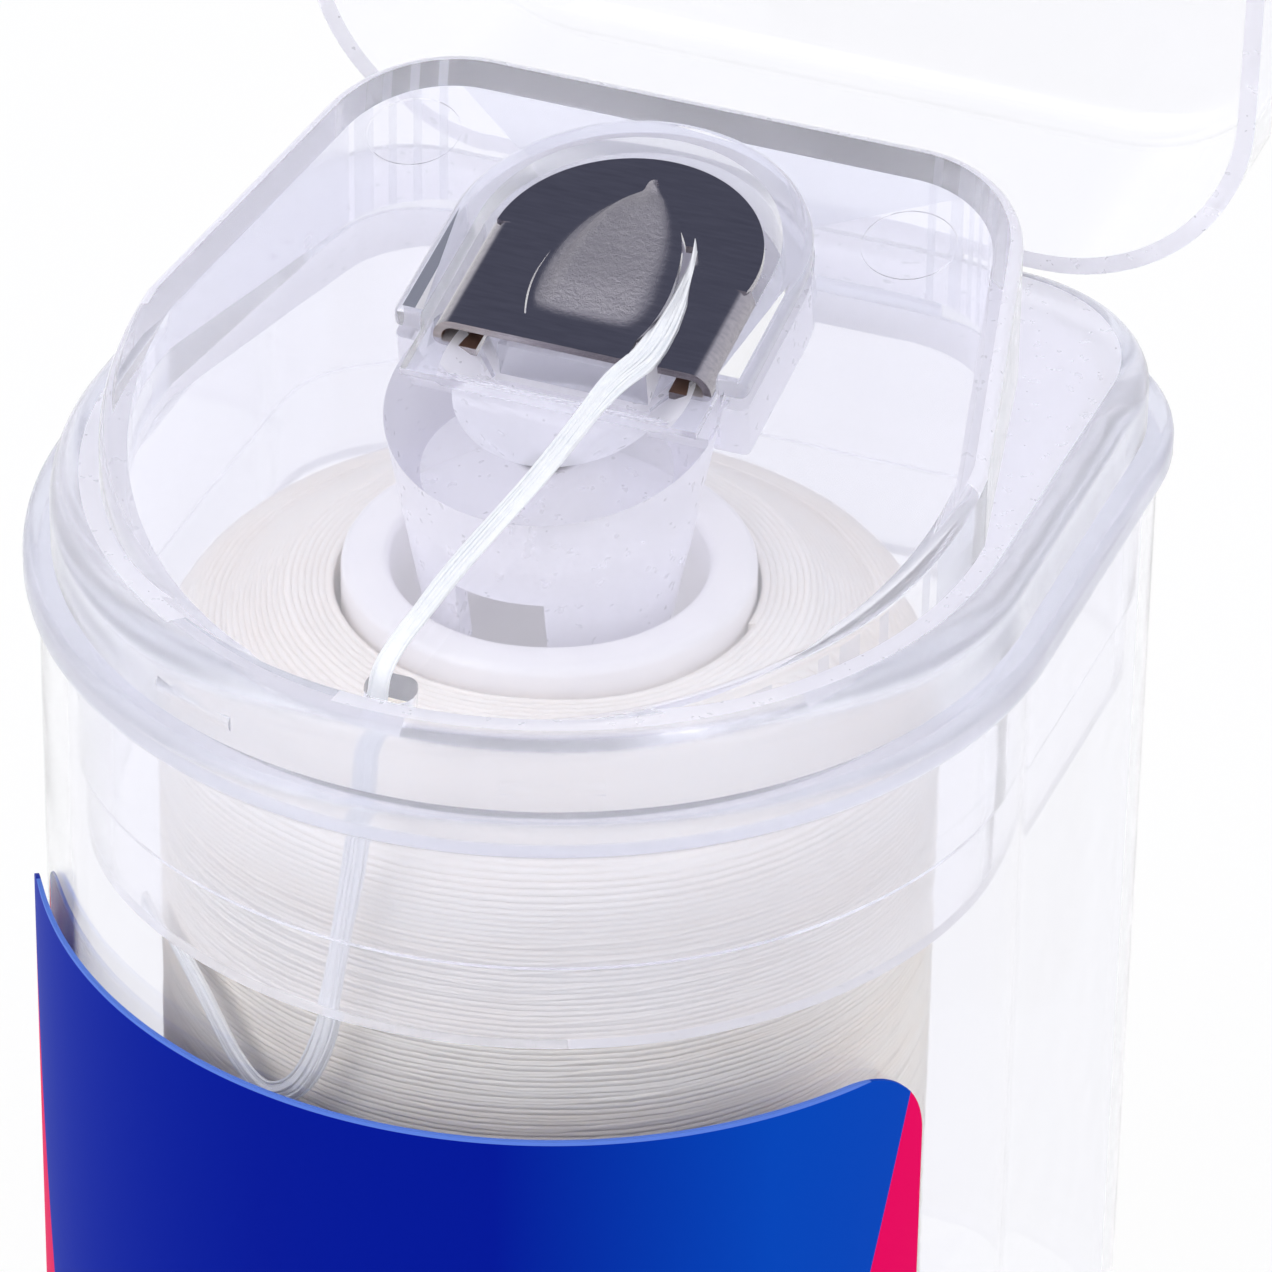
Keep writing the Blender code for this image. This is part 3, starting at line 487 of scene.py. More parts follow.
PAD_MARGIN = 1.35 * MM
PAD_RISE = 1.15 * MM
PAD_ROUND = 0.3 * MM
PAD_POCKET = 2.2 * MM
PAD_FLOOR = 1.6 * MM
STEP_LENGTH = 1.9 * MM
STEP_LEVEL = -0.25 * MM
ISLAND_WIDTH = 5.4 * MM
PAD_SLOT = Vector((2.2, 1.1, 0.8)) * MM
PAD_SLOT_OFFSET = 4.3 * MM
HINGE_Y = 20.35 * MM
HINGE_Z = 40.15 * MM
HINGE_WIDTH = 17.0 * MM
HINGE_LIP = 0.5 * MM
HINGE_LIP_ROOT = 0.3 * MM
FLANGE_UNDER = CASE_HEIGHT + SEAT_GAP
FLANGE_TOP = FLANGE_UNDER + FLANGE_THICKNESS
RIM_TOP = FLANGE_TOP + RIM_HEIGHT
SKIRT_SET_IN = CASE_WALL + SEAT_GAP
HINGE_OFFSET = HINGE_Y - CASE_BACK - OVERHANG
RIM_RADIUS = CASE_RADIUS + OVERHANG - RIM_SET_BACK
HOOD_RADIUS = RIM_RADIUS - RIM_ROUND - HOOD_LEDGE
TILT = atan(CUTTER_SLOPE)
CUTTER_LEVEL = RIM_TOP + CUTTER_RISE


def hood_level(y):
    return RIM_TOP + HOOD_RISE + HOOD_SLOPE * y


def hood_outline(inset):
    """The hood's plan: a front arc just inside the rim, splayed sides and a rounded back."""
    centre = Vector((HOOD_HALF_WIDTH - HOOD_CORNER, HOOD_BACK - HOOD_CORNER))
    meeting = Vector((cos(HOOD_MEETING_ANGLE), sin(HOOD_MEETING_ANGLE))) * HOOD_RADIUS
    away = meeting - centre
    splay = atan2(away.y, away.x) + acos(HOOD_CORNER / away.length)
    right_side = arc(centre, HOOD_CORNER - inset, splay, pi / 2, CORNER_STEPS)
    radius = HOOD_RADIUS - inset
    start = Vector(right_side[0])
    along = Vector((sin(splay), -cos(splay)))
    reach = start.dot(along)
    meet = start + along * (sqrt(reach ** 2 - start.length_squared + radius ** 2) - reach)
    sweep = atan2(meet.y, meet.x)
    return (arc((0, 0), radius, -pi - sweep, sweep, ARC_STEPS) + right_side
        + [(-x, y) for x, y in right_side[::-1]])


def on_slope(points, rise):
    """Plan points laid on the cutter's slope at a height square to it."""
    lay = Matrix.Rotation(TILT, 3, "X")
    return [Vector((0, 0, CUTTER_LEVEL)) + lay @ Vector((x, y / cos(TILT), rise)) for x, y in points]


def rectangle(half, front, back):
    return [(-half, front), (half, front), (half, back), (-half, back)]


def slope_block(name, outline, low, high):
    return skin(name, [on_slope(outline, low), on_slope(outline, high)])


def cutter_outline(margin, front_margin):
    """The cutter's plan with its half-round back, grown by margin, counter-clockwise."""
    radius = CUTTER_WIDTH / 2 + margin
    centre_y = CUTTER_FRONT + CUTTER_LENGTH - CUTTER_WIDTH / 2
    return ([(-radius, CUTTER_FRONT - front_margin), (radius, CUTTER_FRONT - front_margin)]
        + arc((0, centre_y), radius, 0, pi, 3 * CORNER_STEPS))


def bevel(made, width, segments=EDGE_STEPS, angle=40.0):
    step = made.modifiers.new("edges", "BEVEL")
    step.width = width
    step.segments = segments
    step.limit_method = "ANGLE"
    step.angle_limit = radians(angle)
    step.use_clamp_overlap = True


def block(name, size, centre):
    bpy.ops.mesh.primitive_cube_add(size=1.0)
    made = bpy.context.object
    made.name = name
    made.data.transform(Matrix.Translation(centre) @ Matrix.Diagonal((*size, 1)))
    return made


insert_plastic = clear_moulding("clear_insert_polypropylene", "#FAFAFE", 0.88, 0.04, 0.12)
frosted_plastic = clear_moulding("frosted_polypropylene", "#EAEBF4", 0.74, 0.20, 0.12)
milky_plastic = clear_moulding("milky_polypropylene", "#F2F1F8", 0.30, 0.30, 0.05)

skirt_low = FLANGE_UNDER - SKIRT_LENGTH
skirt_mid = FLANGE_UNDER - SKIRT_UPPER
low_inset = SKIRT_SET_IN + SKIRT_STEP
rim_inset = RIM_SET_BACK - OVERHANG
flange = edge_round(-OVERHANG, FLANGE_TOP, FLANGE_ROUND, 4)
profile = [(low_inset, skirt_low), (low_inset, skirt_mid), (SKIRT_SET_IN, skirt_mid),
    (SKIRT_SET_IN, FLANGE_UNDER)]
profile += [(inset, FLANGE_UNDER + FLANGE_TOP - level) for inset, level in flange[::-1]] + flange
profile += [(rim_inset, FLANGE_TOP)] + edge_round(rim_inset, RIM_TOP, RIM_ROUND)
clear_insert = skin("clear_insert", d_rings(profile))
carve(clear_insert, prism("recess", hood_outline(-HOOD_SEAM), lambda y: hood_level(y) - HOOD_SEAM,
    hood_level(HOOD_BACK) + OVERRUN))
hood = prism("hood", hood_outline(0), RIM_TOP - DECK, hood_level)
bevel(hood, HOOD_ROUND)
fuse(clear_insert, hood)
bore = skin("bore", d_rings([(low_inset + SKIRT_WALL, skirt_low - OVERRUN),
    (low_inset + SKIRT_WALL, RIM_TOP - DECK)]))
carve(clear_insert, bore)
carve(clear_insert, prism("hollow", hood_outline(HOOD_WALL), FLANGE_UNDER, lambda y: hood_level(y) - HOOD_WALL))

# The pad, its pocket, and the island under the cutter's plate
pocket_floor = PAD_RISE - PAD_POCKET
pad = slope_block("pad", cutter_outline(PAD_MARGIN, SEAT_GAP), pocket_floor - PAD_FLOOR, PAD_RISE)
bevel(pad, PAD_ROUND, segments=3)
fuse(clear_insert, pad)
carve(clear_insert, slope_block("pocket", cutter_outline(SEAT_GAP, SEAT_GAP + OVERRUN), pocket_floor,
    PAD_RISE + OVERRUN))
step_front = CUTTER_FRONT - SEAT_GAP - STEP_LENGTH
half = CUTTER_WIDTH / 2 + SEAT_GAP
carve(clear_insert, slope_block("step", rectangle(half, step_front, CUTTER_FRONT), STEP_LEVEL,
    PAD_RISE + OVERRUN))
island_end = CUTTER_FRONT + CUTTER_FOLD_LENGTH
fuse(clear_insert, slope_block("island", rectangle(ISLAND_WIDTH / 2, CUTTER_FRONT, island_end),
    pocket_floor - PAD_FLOOR / 2, CUTTER_LIFT - CUTTER_STEEL - SEAT_GAP))

# The split spindle
crown = RIM_TOP + SPINDLE_CROWN - DECK
spindle = turned("spindle", [(SPINDLE_TOP_RADIUS, crown), (SPINDLE_TIP_RADIUS, SPINDLE_TIP),
    (SPINDLE_TIP_RADIUS - SPINDLE_WALL, SPINDLE_TIP), (SPINDLE_TIP_RADIUS, RIM_TOP - 2 * SPINDLE_WALL),
    (SPINDLE_TIP_RADIUS / 2, RIM_TOP - SPINDLE_WALL), (0, RIM_TOP - SPINDLE_WALL)])
split_top = (SPINDLE_TIP + RIM_TOP) / 2
carve(spindle, block("split", (SPINDLE_SLOT, 3 * SPINDLE_TOP_RADIUS, split_top - SPINDLE_TIP + OVERRUN),
    (0, 0, (split_top + SPINDLE_TIP - OVERRUN) / 2)))
combine(spindle, prism("trim", hood_outline(HOOD_WALL / 2), skirt_low, lambda y: hood_level(y) - HOOD_WALL / 2),
    "INTERSECT")
fuse(clear_insert, spindle)

# Two slots in the pad's front face, the floss outlet, the snap beads and the hinge lip
for side in (-1, 1):
    notch = block("notch", PAD_SLOT + Vector((0, OVERRUN, 0)),
        (side * PAD_SLOT_OFFSET, CUTTER_FRONT - SEAT_GAP + (PAD_SLOT.y - OVERRUN) / 2,
        pocket_floor - PAD_FLOOR / 2))
    notch.location = (0, 0, CUTTER_LEVEL)
    notch.rotation_euler = (TILT, 0, 0)
    carve(clear_insert, notch)
front = OUTLET_RIM_GAP - HOOD_RADIUS + OUTLET_CORNER
back = front + OUTLET_LENGTH - 2 * OUTLET_CORNER
reach = OUTLET_WIDTH / 2 - OUTLET_CORNER
outline = []
for x, y, turns in ((-reach, front, 2), (reach, front, -1), (reach, back, 0), (-reach, back, 1)):
    start = turns * pi / 2
    outline += arc((x, y), OUTLET_CORNER, start, start + pi / 2, CORNER_STEPS)
carve(clear_insert, prism("outlet", outline, RIM_TOP - OUTLET_DEPTH, RIM_TOP + OVERRUN))
# Round marks that the mould's ejector pins left on the hood
for centre in MARKS:
    ring = arc(centre, MARK_RADIUS, 0, 2 * pi, 2 * CORNER_STEPS)[:-1]
    carve(clear_insert, prism("pin_mark", ring, lambda y: hood_level(y) - MARK_DEPTH,
        lambda y: hood_level(y) + OVERRUN))
for side in (-1, 1):
    bpy.ops.mesh.primitive_cylinder_add(vertices=24, radius=BEAD_RADIUS, depth=BEAD_LENGTH)
    bead = bpy.context.object
    reach = RIM_RADIUS - BEAD_RADIUS + BEAD_STAND_OUT
    bead.location = (side * reach * sin(BEAD_ANGLE), -reach * cos(BEAD_ANGLE), RIM_TOP - BEAD_DROP)
    bead.rotation_euler = (0, pi / 2, side * BEAD_ANGLE)
    fuse(clear_insert, bead)
lip_depth = HINGE_LIP_ROOT + HINGE_OFFSET
fuse(clear_insert, block("lip", (HINGE_WIDTH, lip_depth, HINGE_LIP),
    (0, HINGE_Y - SEAT_GAP / 2 - lip_depth / 2, FLANGE_TOP - HINGE_LIP / 2 - SEAT_GAP / 2)))
clear_insert = applied(clear_insert, insert_plastic)


def inside(outline, x, y):
    """Whether a plan point lies in an outline, by counting the edges to its right."""
    crossings = 0
    for (x0, y0), (x1, y1) in zip(outline, outline[1:] + outline[:1]):
        if (y0 > y) != (y1 > y) and x < x0 + (x1 - x0) * (y - y0) / (y1 - y0):
            crossings += 1
    return crossings % 2 == 1


# The rim, the flange and the pad are frosted; the hood's rounded edge and the spindle are milky
SLACK = MM / 20
clear_insert.data.materials.append(frosted_plastic)
clear_insert.data.materials.append(milky_plastic)
hood_plan = hood_outline(0)
hood_flat = hood_outline(HOOD_ROUND)
pad_plan = cutter_outline(PAD_MARGIN + SLACK, SEAT_GAP + SLACK)
for face in clear_insert.data.polygons:
    x, y, z = face.center
    on_rim = z > FLANGE_UNDER - 2 * SLACK and not inside(hood_plan, x, y)
    on_edge = (z > hood_level(y) - HOOD_ROUND and inside(hood_plan, x, y) and not inside(hood_flat, x, y)
        and y > 0 and face.normal.z > 0)
    on_spindle = z < hood_level(y) - HOOD_WALL - SLACK and (hypot(x, y) < SPINDLE_TOP_RADIUS
        or inside(pad_plan, x, y))
    on_pad = inside(pad_plan, x, y) and z > hood_level(y) - PAD_POCKET
    if on_edge or on_spindle:
        face.material_index = 2
    elif on_rim or on_pad:
        face.material_index = 1
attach(clear_insert, "case")
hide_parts("deck_insert")


# The lid is a shallow clear cap of the flange's outline, moulded in one with the insert and open here.
# Its thumb tab is at its front, and a thin living hinge joins it to the flange.
LID_HEIGHT = 10.6 * MM
LID_WALL = 0.65 * MM
LID_TOP = 0.85 * MM
LID_ROUND = 1.6 * MM
LID_INNER_ROUND = 0.8 * MM
LID_DRAFT = 0.25 * MM
LID_OPEN = radians(92.0)
TAB_WIDTH = 9.0 * MM
TAB_REACH = 1.1 * MM
TAB_THICKNESS = 0.9 * MM
WEB_THICKNESS = 0.22 * MM
WEB_STEPS = 10

lid_plastic = clear_moulding("clear_lid_polypropylene", "#FBFBFE", 0.95, 0.035, 0.10)
mouth = FLANGE_TOP + SEAT_GAP
top = mouth + LID_HEIGHT
outer = [(-OVERHANG, mouth)] + edge_round(LID_DRAFT - OVERHANG, top, LID_ROUND)
inner = edge_round(LID_DRAFT - OVERHANG + LID_WALL, top - LID_TOP, LID_INNER_ROUND)
rings = d_rings(outer + inner[::-1] + [(LID_WALL - OVERHANG, mouth)])
clear_lid = skin("clear_lid", rings, crown=len(outer) - 1)
tab_outline = [(x, y * (TAB_REACH + LID_WALL) / (TAB_WIDTH / 2) - CASE_RADIUS - OVERHANG + LID_WALL / 2)
    for x, y in arc((0, 0), TAB_WIDTH / 2, pi, 2 * pi, 2 * CORNER_STEPS)]
fuse(clear_lid, prism("tab", tab_outline, mouth, mouth + TAB_THICKNESS))
lip_depth = LID_WALL / 2 + HINGE_OFFSET
fuse(clear_lid, block("lip", (HINGE_WIDTH, lip_depth, HINGE_LIP),
    (0, HINGE_Y - SEAT_GAP / 2 - lip_depth / 2, mouth + HINGE_LIP / 2)))
clear_lid = applied(clear_lid, lid_plastic)
# The rim of its mouth is milky
clear_lid.data.materials.append(milky_plastic)
for face in clear_lid.data.polygons:
    if face.normal.z < -0.9 and face.center.z < mouth + MM / 50:
        face.material_index = 1
hinge = Matrix.Translation((0, HINGE_Y, HINGE_Z))
clear_lid.data.transform(hinge @ Matrix.Rotation(-LID_OPEN, 4, "X") @ hinge.inverted())
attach(clear_lid, "lid")
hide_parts("lid")

# The living hinge's web, from the flange's lip round to the lid's lip
web_start = Vector((0, HINGE_Y - SEAT_GAP, HINGE_Z - SEAT_GAP))
web_end = Vector((0, HINGE_Y + SEAT_GAP, HINGE_Z + SEAT_GAP))
rows = []
for angle in quarter(WEB_STEPS):
    y = web_start.y + (web_end.y - web_start.y) * sin(angle)
    z = web_start.z + (web_end.z - web_start.z) * (1 - cos(angle))
    rows.append([(side * (HINGE_WIDTH / 2 - SEAT_GAP), y, z) for side in (-1, 1)])
sheet = bmesh.new()
add_quads(sheet, rows)
hinge_web = finished("hinge_web", sheet)
thicken(hinge_web, WEB_THICKNESS, 0)
hinge_web = applied(hinge_web, lid_plastic)
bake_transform(hinge_web)


# The cutter is stamped from bright stainless steel 0.3 mm thick: folded sides, a round back, and a leaf-shaped
# tongue cut free and raised beside a slit that takes the floss. Stamping left the tongue's middle dull.
FOLD_DROP = 1.35 * MM
FOLD_LIP = 1.55 * MM
FOLD_ROUND = 0.80 * MM
FOLD_LOW_ROUND = 0.40 * MM
FOLD_LENGTHS = {-1: 5.3 * MM, 1: 4.4 * MM}
FOLD_SLANT_SHARE = 0.9
ARCH_SET_IN = 0.28 * MM
TONGUE_WIDTH = 4.9 * MM
TONGUE_LENGTH = 6.75 * MM
TONGUE_BASE = 1.15 * MM
TONGUE_WAIST_SHARE = 0.18
TONGUE_WAIST_REACH_SHARE = 0.35
TONGUE_TIP = 0.45 * MM
TONGUE_GAP = 0.10 * MM
TONGUE_RISE = 0.95 * MM
TONGUE_RISE_POWER = 1.15
TONGUE_LEFT_SHARE = 0.45
TONGUE_CROWN = 0.30 * MM
TONGUE_POWER = 3.9
# Spans in which the embossed and the dull part fade, as shares across and along the tongue
CROWN_LEFT = (-0.80, -0.50)
CROWN_RIGHT = (0.05, 1.0)
CROWN_FALL = 0.75
CROWN_ROOT = (0.02, 0.35)
CROWN_TIP = (0.80, 1.0)
DULL_LEFT = (-1.0, -0.8)
DULL_RIGHT = (0.5, 0.9)
DULL_ROOT = (0.0, 0.15)
TONGUE_ROWS = 48
TONGUE_COLUMNS = 36
# The slit's right edge from the plate's front, in mm
SLIT_RIGHT = [(3.15, 0.0), (3.22, 0.8), (3.20, 1.9), (3.05, 3.1), (2.90, 3.6), (2.68, 4.5), (2.50, 5.4),
    (2.25, 6.0)]

stamped_steel, tree = empty_material("stamped_stainless_steel")
place = own_place(tree)
# Rolling lines 0.15 mm apart along the sheet
stretch = add_node(tree, "ShaderNodeMapping", {"Vector": place, "Scale": (0.12, 1, 1)})
rolled = spots(tree, stretch, 0.15 * MM, 3.0)
# Hammered grain 0.22 mm wide on the tongue, kept there by the attribute
grain = spots(tree, place, 0.22 * MM, 5.0, 0.75)
stamped = add_node(tree, "ShaderNodeAttribute", attribute_name="stamped")
relief = calculate(tree, "MULTIPLY", grain, stamped.outputs["Fac"])
relief = calculate(tree, "MULTIPLY", relief, 1.6)
lines = calculate(tree, "MULTIPLY", rolled, 0.06)
relief = calculate(tree, "ADD", relief, lines)
bump = bumps(tree, relief, 0.9)
dull = between(tree, stamped.outputs["Fac"], 0.17, 0.40)
tone = two_tones(tree, rolled, "#94919A", "#B6B2B8")
metal = principled(tree, {"Base Color": tone, "Metallic": 1.0, "Roughness": dull, "Normal": bump})
show(tree, metal)


fold_hollow_shade, tree = empty_material("painted_shade_steel")
place = own_place(tree)
# Painted shade for the hollows inside the folds: dark brown steel, mottled in spots 0.5 mm wide
painted_layer = spots(tree, place, 0.5 * MM, 3.0)
tone = two_tones(tree, painted_layer, "#4E352D", "#86695C")
metal = principled(tree, {"Base Color": tone, "Metallic": 0.35, "Roughness": 0.5})
show(tree, metal)


def tongue_half_width(share):
    """Half the leaf's width: drawn in a little at its root, round-shouldered and pointed."""
    waist = 1 - TONGUE_WAIST_SHARE * max(0, 1 - share / TONGUE_WAIST_REACH_SHARE) ** 2
    return max(TONGUE_WIDTH / 2 * waist * (1 - share ** TONGUE_POWER), TONGUE_TIP / 2)


def smooth_step(value, low, high):
    share = min(max((value - low) / (high - low), 0), 1)
    return share * share * (3 - 2 * share)


def tongue_crown(share, side):
    """The embossed middle, 0 to 1: a steep step up from the left edge, then gently down to the right."""
    across = smooth_step(side, *CROWN_LEFT) * (1 - CROWN_FALL * smooth_step(side, *CROWN_RIGHT))
    return across * smooth_step(share, *CROWN_ROOT) * (1 - smooth_step(share, *CROWN_TIP))


half = CUTTER_WIDTH / 2
top = CUTTER_LIFT
under = top - CUTTER_STEEL
low = top - FOLD_DROP
inner = half - FOLD_LIP
centre_y = CUTTER_FRONT + CUTTER_LENGTH - half
arch_radius = half - ARCH_SET_IN
ends = {side: CUTTER_FRONT + FOLD_LENGTHS[side] for side in (-1, 1)}
start = asin((ends[1] - centre_y) / arch_radius)
finish = pi - asin((ends[-1] - centre_y) / arch_radius)
plan = [(-inner, CUTTER_FRONT), (inner, CUTTER_FRONT), (inner, ends[1])]
plan += arc((0, centre_y), arch_radius, start, finish, 4 * CORNER_STEPS) + [(-inner, ends[-1])]
cutter = prism("steel_cutter", plan, under, top)


def fold_section(offset):
    """The fold's skin at an offset in from its outside, from over the plate round to under it."""
    upper = FOLD_ROUND - offset
    lower = FOLD_LOW_ROUND - offset
    points = arc((half - FOLD_ROUND, top - FOLD_ROUND), upper, pi / 2, 0, 2 * EDGE_STEPS)
    points += arc((half - FOLD_LOW_ROUND, low + FOLD_LOW_ROUND), lower, 0, -pi / 2, EDGE_STEPS)
    return [(inner, top - offset)] + points + [(inner, low + offset)]


for side in (-1, 1):
    section = fold_section(0) + fold_section(CUTTER_STEEL)[::-1]
    near = [(side * x, CUTTER_FRONT, z) for x, z in section]
    far = [(side * x, ends[side] + (half - x) * FOLD_SLANT_SHARE, z) for x, z in section]
    fuse(cutter, skin("fold", [near, far] if side > 0 else [far, near]))
tongue_root = CUTTER_FRONT + TONGUE_BASE
shares = [row / TONGUE_ROWS for row in range(TONGUE_ROWS + 1)]
edge = [(tongue_half_width(s) + TONGUE_GAP, tongue_root + s * TONGUE_LENGTH) for s in shares]
crest = [(0, tongue_root + TONGUE_LENGTH + TONGUE_GAP)]
window = edge + crest + [(-x, y) for x, y in edge[::-1]]
carve(cutter, prism("window", window, under - OVERRUN, top + OVERRUN))
slit_left = [(x - TONGUE_GAP, y) for x, y in edge if y < CUTTER_FRONT + SLIT_RIGHT[-1][1] * MM]
slit = [(slit_left[0][0], CUTTER_FRONT - OVERRUN), (SLIT_RIGHT[0][0] * MM, CUTTER_FRONT - OVERRUN)]
slit += [(x * MM, CUTTER_FRONT + y * MM) for x, y in SLIT_RIGHT] + slit_left[::-1]
carve(cutter, prism("slit", slit, under - OVERRUN, top + OVERRUN))
rows = []
for share in shares:
    along = share * (TONGUE_LENGTH + TONGUE_GAP) - TONGUE_GAP
    wide = tongue_half_width(share)
    row = []
    for column in range(TONGUE_COLUMNS + 1):
        side = 2 * column / TONGUE_COLUMNS - 1
        lift = TONGUE_LEFT_SHARE + (1 - TONGUE_LEFT_SHARE) * smooth_step(side, -0.8, 1.0)
        rise = TONGUE_RISE * share ** TONGUE_RISE_POWER * lift + TONGUE_CROWN * tongue_crown(share, side)
        row.append((wide * side, tongue_root + along, under + rise))
    rows.append(row)
sheet = bmesh.new()
add_quads(sheet, rows)
tongue = finished("tongue", sheet)
thicken(tongue, CUTTER_STEEL, 1)
fuse(cutter, tongue)
steel_cutter = applied(cutter, stamped_steel, sharp=25.0)
# The faces inside the folds' hollows get the painted shade, a dark brown steel
steel_cutter.data.materials.append(fold_hollow_shade)
skin_depth = 0.8 * CUTTER_STEEL
for face in steel_cutter.data.polygons:
    x, y, z = face.center
    in_fold = low + skin_depth < z < top - skin_depth and abs(face.normal.y) < 0.5
    if in_fold and inner - MM / 100 < abs(x) < half - skin_depth and y < ends[1]:
        face.material_index = 1
mark = steel_cutter.data.attributes.new("stamped", "FLOAT", "POINT")
for vertex in steel_cutter.data.vertices:
    share = (vertex.co.y - tongue_root) / TONGUE_LENGTH
    if 0 < share < 1 and abs(vertex.co.x) < tongue_half_width(share) * 1.01:
        side = vertex.co.x / tongue_half_width(share)
        dull_share = smooth_step(side, *DULL_LEFT) * (1 - smooth_step(side, *DULL_RIGHT))
        mark.data[vertex.index].value = dull_share * smooth_step(share, *DULL_ROOT)
steel_cutter.data.transform(Matrix.Translation((0, 0, CUTTER_LEVEL)) @ Matrix.Rotation(TILT, 4, "X"))
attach(steel_cutter, "case")
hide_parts("cutter")


# The bobbin's core is a plain white tube moulded in polyethylene, satin and a little translucent.
CORE_RADIUS = 7.1 * MM
CORE_BORE = 5.45 * MM
CORE_CHAMFER = 0.35 * MM
CORE_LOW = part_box("bobbin_core")[0].z
CORE_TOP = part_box("bobbin_core")[1].z

white_polyethylene, tree = empty_material("white_polyethylene")
place = own_place(tree)
# Faint moulding mottle 1.5 mm wide
mottle = spots(tree, place, 1.5 * MM, 3.0)
tone = two_tones(tree, mottle, "#ECEAEC", "#F6F4F3")
bump = bumps(tree, mottle, 0.1)
shell = principled(tree, {"Base Color": tone, "Roughness": 0.38, "Normal": bump})
show(tree, shell)

c = CORE_CHAMFER
steps = quarter(4)
section = [(CORE_RADIUS - c + c * sin(a), CORE_TOP - c + c * cos(a)) for a in steps]
section += [(CORE_RADIUS - c + c * cos(a), CORE_LOW + c - c * sin(a)) for a in steps]
section += [(CORE_BORE + c - c * sin(a), CORE_LOW + c - c * cos(a)) for a in steps]
section += [(CORE_BORE + c - c * cos(a), CORE_TOP - c + c * sin(a)) for a in steps]
white_core = applied(turned("white_core", section), white_polyethylene)
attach(white_core, "bobbin")
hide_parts("bobbin_core")


# The floss is some 50 metres of waxed white thread, wound on the core in fine turns that cross a little.
# One long strand lies on a plain package, over its top, down its side and in under it; more cross it.
FLOSS_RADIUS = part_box("floss_turns")[1].x
FLOSS_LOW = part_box("floss_winding")[0].z
FLOSS_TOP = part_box("floss_winding")[1].z
FLOSS_SHOULDER = 2.2 * MM
FLOSS_CONE = 1.5 * MM
FLOSS_THREAD = 0.40 * MM
FLOSS_PITCH = 0.23 * MM
PACKAGE_SET_IN = 0.28 * FLOSS_THREAD
WANDER_LENGTH = 6.25 * MM
FLOSS_STEPS = 64
FLOSS_WANDER = 0.16 * MM
FLOSS_SIDES = 5
CROSS_TURNS = 44
CROSS_THREAD = 0.26 * MM
CROSS_WANDER = 4 * FLOSS_WANDER
CROSS_MARGIN = 1.4 * FLOSS_SHOULDER

waxed_floss, tree = empty_material("waxed_nylon_floss")
place = own_place(tree)
# Fibres drawn out round the bobbin, 0.25 mm apart, and shade that drifts over 2 mm as the layers change
squeeze = add_node(tree, "ShaderNodeMapping", {"Vector": place, "Scale": (0.15, 0.15, 1)})
fibre = spots(tree, squeeze, 0.25 * MM, 4.0, 0.65)
drift = spots(tree, squeeze, 2.2 * MM, 2.0)
tone = two_tones(tree, fibre, "#FDF3E8", "#FFFBF2")
drift_tone = ramp(tree, drift, [(0.35, "#F6E9DE"), (0.62, "#FFFFFF")])
shift = add_node(tree, "ShaderNodeMixRGB", {"Fac": 0.35, "Color1": tone, "Color2": drift_tone},
    blend_type="MULTIPLY")
bump = bumps(tree, fibre, 0.3)
thread = principled(tree, {"Base Color": shift, "Roughness": 0.5, "Sheen Weight": 0.2, "Sheen Roughness": 0.4,
    "Subsurface Weight": 0.35, "Subsurface Radius": (1.0, 0.85, 0.75), "Subsurface Scale": 0.4 * MM,
    "Normal": bump})
show(tree, thread)


def package_profile(outside):
    """Half a section of the package, out to a radius: over its top, down its side and in under it."""
    radius = outside - FLOSS_SHOULDER
    hole = CORE_RADIUS + SEAT_GAP
    top = FLOSS_TOP - (FLOSS_RADIUS - outside)
    low = FLOSS_LOW + (FLOSS_RADIUS - outside)
    corner = quarter(10)
    points = [(hole, top + FLOSS_CONE), (hole + FLOSS_CONE, top + 0.9 * FLOSS_CONE)]
    points += [(radius + FLOSS_SHOULDER * sin(a), top - FLOSS_SHOULDER * (1 - cos(a))) for a in corner]
    points += [(radius + FLOSS_SHOULDER * cos(a), low + FLOSS_SHOULDER * (1 - sin(a))) for a in corner]
    return points + [(hole, low)]


package = turned("floss_package", package_profile(FLOSS_RADIUS - PACKAGE_SET_IN))
floss_package = applied(package, waxed_floss)
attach(floss_package, "bobbin")
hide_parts("floss_winding")


